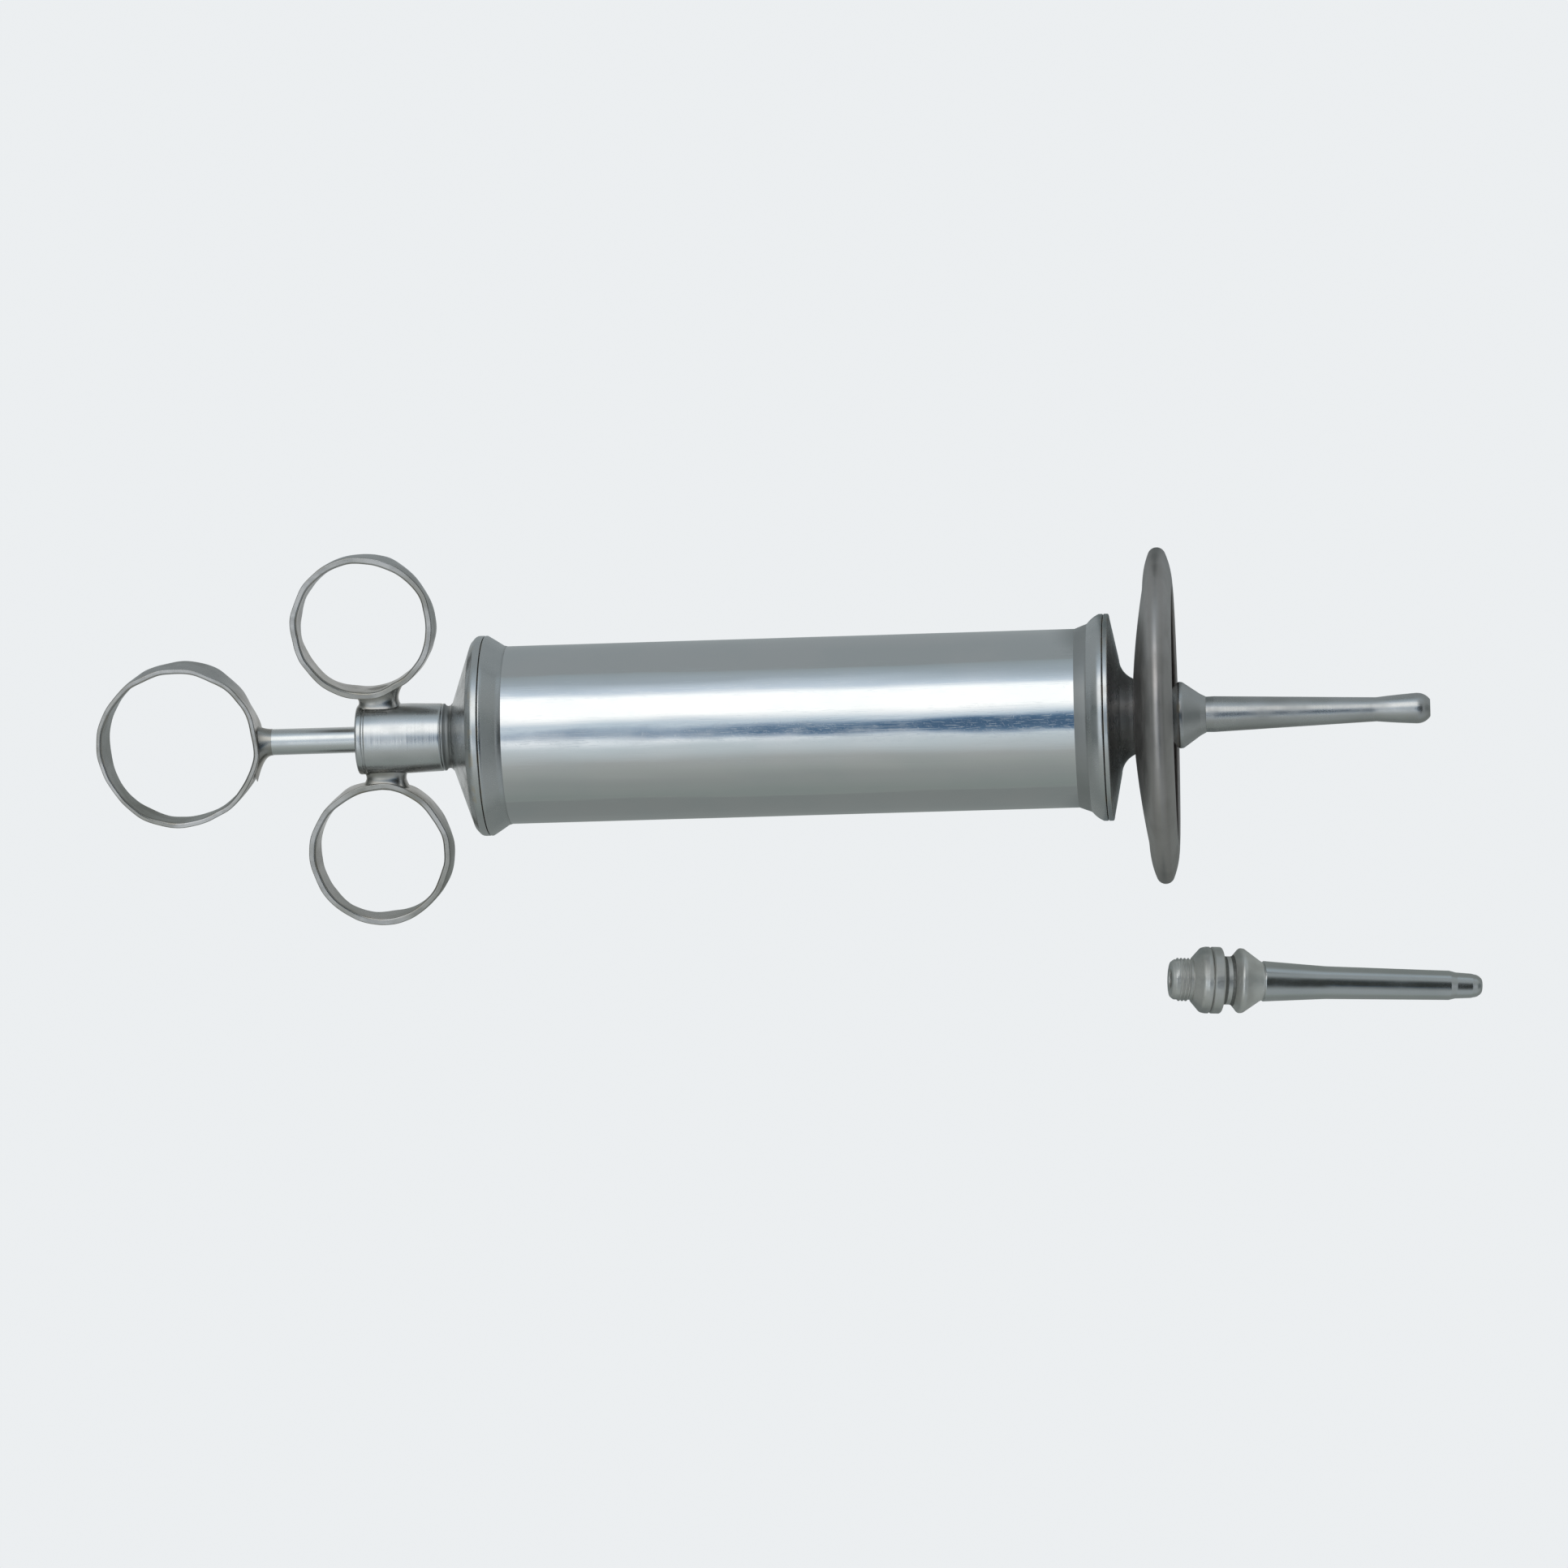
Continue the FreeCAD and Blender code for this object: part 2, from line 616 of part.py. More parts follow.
spare_bead = base_length - bead_length + bead_rise
spare_tilt = tangent_tilt(spare_bead, bead_radius - bead_rounding, bead_rounding,
                          base_length + short_tube_end_place, short_tube_end_radius, 0)
spare_height = ((bead_radius - bead_rounding) * math.cos(spare_tilt) + bead_rounding
                - spare_bead * math.sin(spare_tilt))
shield_ahead = rim_x * math.cos(syringe_tilt)
turn_spare = FreeCAD.Rotation(V(0, 0, 1), spare_turn)
tilt_spare = FreeCAD.Rotation(V(0, 1, 0), -math.degrees(spare_tilt))
lay_spare = FreeCAD.Placement(V(shield_ahead + spare_ahead, -spare_beside, spare_height),
                              turn_spare.multiply(tilt_spare))

syringe_pieces = {
    "barrel_tube": barrel_tube(),
    "rear_collar": rear_collar(),
    "front_collar": front_collar(),
    "rear_cap": rear_cap(),
    "rear_gasket": rear_gasket(),
    "guide_sleeve": guide_sleeve(),
    "gland_nut": gland_nut(),
    "rod_packing": rod_packing(),
    "finger_ring_left": finger_ring(1),
    "finger_ring_right": finger_ring(-1),
    "ring_saddle_left": ring_saddle(1),
    "ring_saddle_right": ring_saddle(-1),
    "plunger_rod": plunger_rod(),
    "thumb_ring": thumb_ring(),
    "thumb_ring_ferrule": thumb_ring_ferrule(),
    "piston_shoulder": piston_shoulder(),
    "piston_rear_disc": piston_disc(rear_disc_start),
    "piston_rear_cup": piston_cup(rear_cup_base + cup_base, -1),
    "piston_spacer": piston_spacer(),
    "piston_front_cup": piston_cup(front_cup_base, 1),
    "piston_front_disc": piston_disc(front_cup_base + cup_base),
    "piston_lock_washer": lock_washer(),
    "piston_nut": piston_nut(),
    "front_gasket": front_gasket(),
    "front_cap": front_cap(),
    "nozzle_washer": nozzle_washer(),
    "splash_shield": splash_shield(),
    "nozzle_base": nozzle_base(nozzle_start),
    "nozzle_tube": long_tube(nozzle_start),
}
spare_pieces = {
    "spare_nozzle_base": nozzle_base(0),
    "spare_nozzle_tube": short_tube(0),
}

laid = {}
for name, piece in syringe_pieces.items():
    laid[name] = piece.transformed(lay_syringe.toMatrix(), copy=True)
for name, piece in spare_pieces.items():
    laid[name] = piece.transformed(lay_spare.toMatrix(), copy=True)

# the origin is the middle of the whole set's footprint, on the table
low_x = min(piece.optimalBoundingBox(False).XMin for piece in laid.values())
high_x = max(piece.optimalBoundingBox(False).XMax for piece in laid.values())
low_y = min(piece.optimalBoundingBox(False).YMin for piece in laid.values())
high_y = max(piece.optimalBoundingBox(False).YMax for piece in laid.values())
to_origin = V(-(low_x + high_x) / 2, -(low_y + high_y) / 2, 0)

for name, piece in laid.items():
    piece.translate(to_origin)
    piece.exportStep("parts/" + name + ".step")
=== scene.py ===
import json
import math

import bpy
import numpy as np
from mathutils import Matrix, Vector


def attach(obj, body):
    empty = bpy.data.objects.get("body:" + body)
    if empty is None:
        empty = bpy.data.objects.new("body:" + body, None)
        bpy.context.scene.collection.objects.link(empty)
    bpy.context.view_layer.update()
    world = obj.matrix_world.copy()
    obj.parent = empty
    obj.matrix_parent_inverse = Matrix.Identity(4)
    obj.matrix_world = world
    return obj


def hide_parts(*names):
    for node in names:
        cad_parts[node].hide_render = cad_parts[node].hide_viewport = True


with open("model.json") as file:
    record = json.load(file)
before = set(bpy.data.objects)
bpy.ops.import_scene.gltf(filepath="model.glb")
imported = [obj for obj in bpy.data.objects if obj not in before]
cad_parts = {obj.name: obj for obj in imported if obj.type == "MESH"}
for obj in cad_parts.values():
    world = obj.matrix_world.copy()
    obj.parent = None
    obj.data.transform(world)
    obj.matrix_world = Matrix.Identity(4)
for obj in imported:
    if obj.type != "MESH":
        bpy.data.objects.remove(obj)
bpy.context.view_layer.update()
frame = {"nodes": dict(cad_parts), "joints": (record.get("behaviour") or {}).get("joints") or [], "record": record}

# ------------------------------------------------------------------------------------------------
# The table top, the light and the camera.
# The syringe lies on a pale sheet, lit evenly from all round, so it casts no shadow.  What its metal
# mirrors is set apart from that light: a tent with one long white panel on the far side, a dark blue
# opening to the right of overhead, and a darker copy of the sheet, with painted light and shade on it.
# ------------------------------------------------------------------------------------------------
pale = (0.838, 0.861, 0.877, 1.0)
table_half = 3.0
camera_distance = 1.4
camera_target = Vector((-0.00159, -0.00124, 0.0))
camera_lens = 165.2
camera_lean_east = -0.02048
camera_lean_north = 0.15781
camera_roll = -0.04145

bpy.context.scene.view_settings.view_transform = "Standard"


def add_node(tree, kind, inputs=(), **settings):
    """A node with its settings; inputs pairs a socket with a value or with an output to link."""
    node = tree.nodes.new(kind)
    for name, value in settings.items():
        setattr(node, name, value)
    for key, value in dict(inputs).items():
        if isinstance(value, bpy.types.NodeSocket):
            tree.links.new(value, node.inputs[key])
        else:
            node.inputs[key].default_value = value
    return node


def sum_up(tree, operation, *values, clamp=False):
    """The result of a Math node on numbers and outputs."""
    node = add_node(tree, "ShaderNodeMath", enumerate(values), operation=operation, use_clamp=clamp)
    return node.outputs[0]


def colour_ramp(tree, factor, stops, interpolation="EASE"):
    """Colour Ramp node's colour; stops are (place, colour)."""
    node = add_node(tree, "ShaderNodeValToRGB", {0: factor})
    node.color_ramp.interpolation = interpolation
    while len(node.color_ramp.elements) < len(stops):
        node.color_ramp.elements.new(0.5)
    for element, (place, colour) in zip(node.color_ramp.elements, stops):
        element.position = place
        element.color = (*colour[:3], 1.0)
    return node.outputs["Color"]


def blended(tree, factor, first, second, mode="MIX"):
    """Mix node between two colours."""
    node = tree.nodes.new("ShaderNodeMix")
    node.data_type = "RGBA"
    node.blend_type = mode
    for index, value in ((0, factor), (6, first), (7, second)):
        socket = node.inputs[index]
        if isinstance(value, bpy.types.NodeSocket):
            tree.links.new(value, socket)
        else:
            socket.default_value = value
    return node.outputs[2]


def mapped(tree, value, low, high, to_low=0.0, to_high=1.0, smooth=True):
    """Map Range node's result, held within its ends."""
    kind = "SMOOTHSTEP" if smooth else "LINEAR"
    return add_node(tree, "ShaderNodeMapRange", {0: value, 1: low, 2: high, 3: to_low, 4: to_high},
                    interpolation_type=kind).outputs[0]


# colours of the tent round the syringe: degrees from straight overhead towards the far side
tent_rounds = (
    (-180, (0.28, 0.30, 0.30)), (-95, (0.30, 0.33, 0.32)), (-84, (0.29, 0.33, 0.315)),
    (-58, (0.345, 0.375, 0.365)), (-46, (0.40, 0.435, 0.42)), (-33, (0.46, 0.49, 0.485)),
    (-22, (0.60, 0.66, 0.68)), (-12, (0.70, 0.78, 0.82)), (-1, (0.80, 0.90, 0.97)),
    (19, (0.72, 0.84, 0.94)), (29, (1.50, 1.52, 1.50)), (54, (1.50, 1.54, 1.54)),
    (61, (0.78, 0.90, 1.02)), (76, (0.46, 0.54, 0.60)), (92, (0.36, 0.42, 0.44)),
    (180, (0.36, 0.39, 0.40)))
tent_brightest = 2.0

world = bpy.data.worlds.new("light_tent")
bpy.context.scene.world = world
world.use_nodes = True
world.cycles.sampling_method = "NONE"
sky = world.node_tree
sky.nodes.clear()
direction = add_node(sky, "ShaderNodeSeparateXYZ",
                     {0: add_node(sky, "ShaderNodeTexCoord").outputs["Generated"]}).outputs
round_angle = sum_up(sky, "ARCTAN2", direction["Y"], direction["Z"])
round_share = mapped(sky, round_angle, -math.pi, math.pi, smooth=False)
tent = colour_ramp(sky, round_share, [((angle + 180) / 360, [c / tent_brightest for c in colour])
                                      for angle, colour in tent_rounds], "LINEAR")
tent = blended(sky, 1.0, tent, (tent_brightest,) * 3 + (1.0,), "MULTIPLY")
# the panel stops a little to the right of the camera, with grey cloth beyond it
beyond = mapped(sky, direction["X"], -0.06, 0.12)
tent = blended(sky, sum_up(sky, "MULTIPLY", beyond, mapped(sky, direction["Z"], 0.1, 0.4)), tent,
               (0.36, 0.40, 0.415, 1.0))
# the ends of the tent are dark low down, and paler towards their sides and their tops
end_share = mapped(sky, sum_up(sky, "ABSOLUTE", direction["X"]), 0.40, 0.80)
end_cloth = colour_ramp(sky, mapped(sky, direction["Z"], -0.1, 0.8, smooth=False),
                        [(0.0, (0.12, 0.14, 0.145)), (0.70, (0.17, 0.195, 0.195)),
                         (1.0, (0.47, 0.50, 0.52))])
sideways = mapped(sky, sum_up(sky, "ABSOLUTE", direction["Y"]), 0.10, 0.55)
end_cloth = blended(sky, sideways, end_cloth, (0.34, 0.37, 0.37, 1.0))
tent = blended(sky, end_share, tent, end_cloth)
# a lamp to the left of the camera, and the dark opening for the camera
east = sum_up(sky, "DIVIDE", direction["X"], direction["Z"])
north = sum_up(sky, "DIVIDE", direction["Y"], direction["Z"])


def distance_from(tree, x, y, middle_x, middle_y):
    """How far a direction is from the middle of a patch of the tent's roof."""
    across = sum_up(tree, "SUBTRACT", x, middle_x)
    along = sum_up(tree, "SUBTRACT", y, middle_y)
    return sum_up(tree, "SQRT", sum_up(tree, "ADD", sum_up(tree, "MULTIPLY", across, across),
                                       sum_up(tree, "MULTIPLY", along, along)))


overhead = mapped(sky, direction["Z"], 0.55, 0.75)
lamp = mapped(sky, distance_from(sky, east, north, -0.36, -0.02), 0.27, 0.08)
tent = blended(sky, sum_up(sky, "MULTIPLY", lamp, overhead), tent, (1.22, 1.27, 1.30, 1.0))
opening_away = distance_from(sky, sum_up(sky, "MULTIPLY", east, 0.80), north, 0.20, 0.10)
opening_colour = colour_ramp(sky, opening_away,
                             [(0.0, (0.030, 0.035, 0.033)), (0.22, (0.045, 0.060, 0.070)),
                              (0.31, (0.085, 0.160, 0.270)), (0.40, (0.17, 0.31, 0.48))])
opening = mapped(sky, opening_away, 0.405, 0.335)
tent = blended(sky, sum_up(sky, "MULTIPLY", opening, overhead), tent, opening_colour)
# a tall black screen stands beyond the opening
screen_width, screen_height = 0.36, 1.05
screen_away = distance_from(sky, sum_up(sky, "DIVIDE", east, screen_width),
                            sum_up(sky, "DIVIDE", north, screen_height), 1.25, 0.10)
screen = sum_up(sky, "MULTIPLY", mapped(sky, screen_away, 1.0, 0.30),
                mapped(sky, direction["Z"], 0.3, 0.6))
tent = blended(sky, screen, tent, (0.040, 0.045, 0.042, 1.0))
# only mirrored rays meet the tent, and all others the plain pale light
rays = add_node(sky, "ShaderNodeLightPath").outputs
seen = add_node(sky, "ShaderNodeBackground", {"Color": tent})
plain = add_node(sky, "ShaderNodeBackground", {"Color": pale})
either = add_node(sky, "ShaderNodeMixShader",
                  {0: rays["Is Glossy Ray"], 1: plain.outputs[0], 2: seen.outputs[0]})
add_node(sky, "ShaderNodeOutputWorld", {"Surface": either.outputs[0]})

table = bpy.data.objects.new("table", bpy.data.meshes.new("table"))
table.data.from_pydata([(-table_half, -table_half, 0), (table_half, -table_half, 0),
                        (table_half, table_half, 0), (-table_half, table_half, 0)], [], [(0, 1, 2, 3)])
bpy.context.scene.collection.objects.link(table)
sheet = bpy.data.materials.new("pale_sheet")
sheet.use_nodes = True
sheet.cycles.emission_sampling = "NONE"
paper = sheet.node_tree
paper.nodes.clear()
paper_rays = add_node(paper, "ShaderNodeLightPath").outputs
paper_place = add_node(paper, "ShaderNodeSeparateXYZ",
                       {0: add_node(paper, "ShaderNodeTexCoord").outputs["Object"]}).outputs
# the sheet as the metal mirrors it, darker towards -y, with a painted pool of light near the rear cap
# and painted shade where the shield's shadow falls
mirrored = colour_ramp(paper, mapped(paper, paper_place["Y"], -0.03, 0.06),
                       [(0.0, (0.262, 0.288, 0.282)), (1.0, (0.345, 0.382, 0.395))])
under_cap = add_node(paper, "ShaderNodeVectorMath",
                     {0: add_node(paper, "ShaderNodeTexCoord").outputs["Object"], 1: (-0.082, 0.012, 0.0)},
                     operation="DISTANCE").outputs["Value"]
lit = mapped(paper, under_cap, 0.032, 0.015)
shaded = sum_up(paper, "MULTIPLY", mapped(paper, paper_place["X"], 0.050, 0.060),
                mapped(paper, paper_place["X"], 0.095, 0.075))
# painted light: a pale patch on the mirrored sheet near the rear cap
mirrored = blended(paper, lit, mirrored, (0.58, 0.60, 0.60, 1.0))
# painted shade: a dark strip from x = 50 to 95 mm on the mirrored sheet, under the front cap and shield
mirrored = blended(paper, shaded, mirrored, (0.15, 0.175, 0.178, 1.0))
glow = add_node(paper, "ShaderNodeEmission", {"Color": pale})
mirror_glow = add_node(paper, "ShaderNodeEmission", {"Color": mirrored})
choice = add_node(paper, "ShaderNodeMixShader",
                  {0: paper_rays["Is Glossy Ray"], 1: glow.outputs[0], 2: mirror_glow.outputs[0]})
add_node(paper, "ShaderNodeOutputMaterial", {"Surface": choice.outputs[0]})
table.data.materials.append(sheet)

to_camera = Vector((math.sin(camera_lean_east), math.sin(camera_lean_north), 0.0))
to_camera.z = math.sqrt(1 - to_camera.length_squared)
level_right = Vector((0, 1, 0)).cross(to_camera).normalized()
level_up = to_camera.cross(level_right)
right = level_right * math.cos(camera_roll) + level_up * math.sin(camera_roll)
up = level_up * math.cos(camera_roll) - level_right * math.sin(camera_roll)
camera = bpy.data.objects.new("camera", bpy.data.cameras.new("camera"))
camera.data.sensor_width = 36.0
camera.data.lens = camera_lens
camera.data.clip_start = 0.05
camera.data.clip_end = 50.0
camera.matrix_world = (Matrix.Translation(camera_target + to_camera * camera_distance)
                       @ Matrix((right, up, to_camera)).transposed().to_4x4())
bpy.context.scene.collection.objects.link(camera)
bpy.context.scene.camera = camera

# ------------------------------------------------------------------------------------------------
# Barrel tube.
# Thin seamless brass tube, nickel plated and buffed along its length.  Years of handling have left
# it very slightly uneven, with fine wipe marks under the shine.
# ------------------------------------------------------------------------------------------------
along_barrel = 1.2
barrel_around = 224
barrel_unevenness = 0.0020
plate_colour = (0.680, 0.682, 0.684, 1.0)
worn_brass = (0.60, 0.47, 0.27, 1.0)

joints = {joint["name"]: joint for joint in frame["joints"]}
mounts = {mount["name"]: mount for mount in frame["record"]["mounts"]}


def lying(origin, ahead):
    """Matrix from a piece's own millimetres, with +X along its axis, to metres on the table."""
    x = Vector(ahead).normalized()
    y = Vector((0, 0, 1)).cross(x).normalized()
    turn = Matrix((x, y, x.cross(y))).transposed().to_4x4()
    return Matrix.Translation(Vector(origin)) @ turn @ Matrix.Scale(0.001, 4)


syringe_lay = lying(joints["rear_cap_turn"]["pos_m"], joints["front_cap_turn"]["axis"])


def span(node, lay=syringe_lay):
    """Start, end, smallest and largest radius of a turned part, in millimetres in its own frame."""
    back = lay.inverted()
    points = np.array([back @ v.co for v in frame["nodes"][node].data.vertices])
    radii = np.hypot(points[:, 1], points[:, 2])
    return points[:, 0].min(), points[:, 0].max(), radii.min(), radii.max()


def bow(start, middle, end, count=9, edge=0.0):
    """Points of the arc through three points, the ends included, as corners with an edge value."""
    (ax, ay), (bx, by), (cx, cy) = start, middle, end
    d = 2 * (ax * (by - cy) + bx * (cy - ay) + cx * (ay - by))
    ux = ((ax * ax + ay * ay) * (by - cy) + (bx * bx + by * by) * (cy - ay)
          + (cx * cx + cy * cy) * (ay - by)) / d
    uy = ((ax * ax + ay * ay) * (cx - bx) + (bx * bx + by * by) * (ax - cx)
          + (cx * cx + cy * cy) * (bx - ax)) / d
    radius = math.hypot(ax - ux, ay - uy)
    first = math.atan2(ay - uy, ax - ux)
    middle_turn = math.remainder(math.atan2(by - uy, bx - ux) - first, 2 * math.pi)
    turn = math.remainder(math.atan2(cy - uy, cx - ux) - first, 2 * math.pi)
    if turn * middle_turn < 0:
        turn -= math.copysign(2 * math.pi, turn)
    return [(ux + radius * math.cos(first + turn * k / (count - 1)),
             uy + radius * math.sin(first + turn * k / (count - 1)), 0.0, edge) for k in range(count)]


def rounded(corners, longest):
    """Closed outline as (x, r, edge) points. A corner (x, r, rounding) becomes a small arc, with edge
    at 1 where the metal stands out and -1 where it is hollow, and a corner (x, r, 0, edge) stays as it
    is. No run is longer than longest."""
    n = len(corners)
    area = sum(corners[i - 1][0] * corners[i][1] - corners[i][0] * corners[i - 1][1] for i in range(n))
    points = []
    for i, corner in enumerate(corners):
        here = Vector(corner[:2])
        to_last = Vector(corners[i - 1][:2]) - here
        to_next = Vector(corners[(i + 1) % n][:2]) - here
        bend = to_last.angle(to_next)
        if len(corner) != 3 or bend > math.radians(179):
            points.append((*here, corner[3] if len(corner) > 3 else 0.0))
            continue
        reach = min(corner[2] / math.tan(bend / 2), 0.45 * to_last.length, 0.45 * to_next.length)
        a, b = to_last.normalized(), to_next.normalized()
        centre = here + (a + b).normalized() * (reach / math.cos(bend / 2))
        out = 1.0 if (-a.x * b.y + a.y * b.x) * area > 0 else -1.0
        if bend > math.radians(150):
            out = 0.0
        first, last = here + a * reach, here + b * reach
        steps = max(3, round(math.degrees(math.pi - bend) / 15))
        start_angle = math.atan2(first.y - centre.y, first.x - centre.x)
        swing = math.remainder(math.atan2(last.y - centre.y, last.x - centre.x) - start_angle, 2 * math.pi)
        radius = (first - centre).length
        points.append((*(here + a * reach * 1.12), 0.0))
        for k in range(steps + 1):
            angle = start_angle + swing * k / steps
            points.append((centre.x + radius * math.cos(angle), centre.y + radius * math.sin(angle), out))
        points.append((*(here + b * reach * 1.12), 0.0))
    filled = []
    for i, point in enumerate(points):
        after = points[(i + 1) % len(points)]
        gap = math.hypot(after[0] - point[0], after[1] - point[1])
        count = max(1, math.ceil(gap / longest))
        filled += [tuple(point[k] + (after[k] - point[k]) * j / count for k in range(3))
                   for j in range(count)]
    return filled + filled[:1]


def tree_input(tree, name, kind, default=None):
    """A named input of a tree."""
    socket = tree.interface.new_socket(name, in_out="INPUT", socket_type=kind)
    if default is not None:
        socket.default_value = default
    return socket


def number_grid(tree, given):
    """Grid of one row per outline point and one column per step round; gives it with the angle round
    and the outline's own place and edge value at each of its points."""
    columns = sum_up(tree, "ADD", given["Steps round"], 1)
    length = sum_up(tree, "SUBTRACT", given["Outline points"], 1)
    grid = add_node(tree, "GeometryNodeMeshGrid",
                    {"Size X": 2 * math.pi, "Size Y": length, "Vertices X": columns,
                     "Vertices Y": given["Outline points"]})
    place = add_node(tree, "ShaderNodeSeparateXYZ",
                     {0: add_node(tree, "GeometryNodeInputPosition").outputs[0]}).outputs
    row = sum_up(tree, "ROUND", sum_up(tree, "ADD", place["Y"], sum_up(tree, "MULTIPLY", length, 0.5)))
    drawn = add_node(tree, "GeometryNodeInputPosition").outputs[0]
    mark = add_node(tree, "GeometryNodeInputNamedAttribute", {"Name": "edge"},
                    data_type="FLOAT").outputs[0]
    found = [add_node(tree, "GeometryNodeSampleIndex",
                      {"Geometry": given["Outline"], "Value": value, "Index": row},
                      data_type=kind).outputs[0]
             for value, kind in ((drawn, "FLOAT_VECTOR"), (mark, "FLOAT"))]
    spot = add_node(tree, "ShaderNodeSeparateXYZ", {0: found[0]}).outputs
    return grid.outputs["Mesh"], place["X"], spot, found[1]


def finish_grid(tree, given, mesh, place, edge, join=0.002):
    """Puts the grid's points in place, closes its seams and gives it the finish."""
    kept = add_node(tree, "GeometryNodeStoreNamedAttribute",
                    {"Geometry": mesh, "Name": "edge", "Value": edge}, data_type="FLOAT", domain="POINT")
    moved = add_node(tree, "GeometryNodeSetPosition", {"Geometry": kept.outputs[0], "Position": place})
    closed = add_node(tree, "GeometryNodeMergeByDistance",
                      {"Geometry": moved.outputs[0], "Distance": join})
    smooth = add_node(tree, "GeometryNodeSetShadeSmooth", {"Geometry": closed.outputs[0]})
    real = add_node(tree, "GeometryNodeRealizeInstances", {"Geometry": smooth.outputs[0]})
    done = add_node(tree, "GeometryNodeSetMaterial",
                    {"Geometry": real.outputs[0], "Material": given["Finish"]})
    add_node(tree, "NodeGroupOutput", {0: done.outputs[0]})


def noise(tree, vector, seed, scale, detail=2.0):
    """Noise between about -1 and 1."""
    raw = add_node(tree, "ShaderNodeTexNoise",
                   {"Vector": vector, "W": seed, "Scale": scale, "Detail": detail},
                   noise_dimensions="4D").outputs[0]
    return sum_up(tree, "MULTIPLY_ADD", raw, 2.0, -1.0)


turning = bpy.data.node_groups.new("turned_piece", "GeometryNodeTree")
tree_input(turning, "Outline", "NodeSocketGeometry")
tree_input(turning, "Outline points", "NodeSocketInt", 8)
tree_input(turning, "Steps round", "NodeSocketInt", 96)
tree_input(turning, "Unevenness", "NodeSocketFloat", 0.0)
tree_input(turning, "Uneven length", "NodeSocketFloat", 14.0)
tree_input(turning, "Seed", "NodeSocketFloat", 1.0)
tree_input(turning, "Finish", "NodeSocketMaterial")
turning.interface.new_socket("Piece", in_out="OUTPUT", socket_type="NodeSocketGeometry")
given = add_node(turning, "NodeGroupInput").outputs
grid, angle, spot, edge = number_grid(turning, given)
side = sum_up(turning, "SINE", angle)
height = sum_up(turning, "COSINE", angle)
even = add_node(turning, "ShaderNodeCombineXYZ",
                {0: spot["X"], 1: sum_up(turning, "MULTIPLY", spot["Y"], side),
                 2: sum_up(turning, "MULTIPLY", spot["Y"], height)}).outputs[0]
swell = noise(turning, even, given["Seed"], sum_up(turning, "DIVIDE", 1.0, given["Uneven length"]))
radius = sum_up(turning, "MULTIPLY", spot["Y"],
                sum_up(turning, "ADD", sum_up(turning, "MULTIPLY", swell, given["Unevenness"]), 1.0))
turned_place = add_node(turning, "ShaderNodeCombineXYZ",
                        {0: spot["X"], 1: sum_up(turning, "MULTIPLY", radius, side),
                         2: sum_up(turning, "MULTIPLY", radius, height)}).outputs[0]
finish_grid(turning, given, grid, turned_place, edge)


def baked(name, base, tree, values, lay):
    """Runs a tree on a base mesh, and gives its result as a plain object in place on the table."""
    holder = bpy.data.objects.new(name + "_base", base)
    bpy.context.scene.collection.objects.link(holder)
    modifier = holder.modifiers.new("shape", "NODES")
    modifier.node_group = tree
    for item in tree.interface.items_tree:
        if item.item_type == "SOCKET" and item.in_out == "INPUT" and item.name in values:
            modifier[item.identifier] = values[item.name]
    evaluated = holder.evaluated_get(bpy.context.evaluated_depsgraph_get())
    mesh = bpy.data.meshes.new_from_object(evaluated)
    bpy.data.objects.remove(holder)
    mesh.name = name
    mesh.transform(lay)
    if signed_volume(mesh) < 0:
        mesh.flip_normals()
    mesh.set_sharp_from_angle(angle=math.radians(38))
    piece = bpy.data.objects.new(name, mesh)
    bpy.context.scene.collection.objects.link(piece)
    return piece


def signed_volume(mesh):
    """Six times the closed mesh's volume, negative when its normals point inwards."""
    mesh.calc_loop_triangles()
    points = np.array([v.co for v in mesh.vertices])
    corners = np.array([t.vertices for t in mesh.loop_triangles])
    a, b, c = points[corners[:, 0]], points[corners[:, 1]], points[corners[:, 2]]
    return float(np.einsum("ij,ij->i", a, np.cross(b, c)).sum())


def outline_mesh(name, points):
    """The outline as loose points that carry the edge value."""
    mesh = bpy.data.meshes.new(name)
    mesh.from_pydata([(x, r, 0.0) for x, r, _ in points], [], [])
    mesh.attributes.new("edge", "FLOAT", "POINT").data.foreach_set("value", [p[2] for p in points])
    return mesh


def turned(name, corners, finish, lay=syringe_lay, longest=2.5, around=128, uneven=0.0007, seed=1.0):
    """A piece turned about its axis from an outline in millimetres."""
    points = rounded(corners, longest)
    values = {"Outline points": len(points), "Steps round": around, "Unevenness": uneven,
              "Seed": seed, "Finish": finish}
    return baked(name, outline_mesh(name, points), turning, values, lay)


# What handling does to plated metal, shared by every finish: wipe marks along the piece, turning
# marks round it, smudges, and pores where the surface is dull.
marks = bpy.data.node_groups.new("handling_marks", "ShaderNodeTree")
for name, default in (("Polish", 0.1), ("Wipe marks", 0.2), ("Turning marks", 0.1), ("Turning pitch", 0.4),
                      ("Smudges", 0.2), ("Pores", 0.0), ("Pore size", 0.3), ("Dents", 0.0)):
    tree_input(marks, name, "NodeSocketFloat", default)
for name in ("Roughness", "Height", "Smudge", "Patch"):
    marks.interface.new_socket(name, in_out="OUTPUT", socket_type="NodeSocketFloat")
given = add_node(marks, "NodeGroupInput").outputs
place = add_node(marks, "ShaderNodeTexCoord").outputs["Object"]
tilt = math.atan2(-joints["front_cap_turn"]["axis"][2], joints["front_cap_turn"]["axis"][0])
own_place = add_node(marks, "ShaderNodeMapping", {"Vector": place, "Rotation": (0.0, -tilt, 0.0),
                                                  "Scale": (1000.0, 1000.0, 1000.0)}).outputs[0]
own = add_node(marks, "ShaderNodeSeparateXYZ", {0: own_place}).outputs


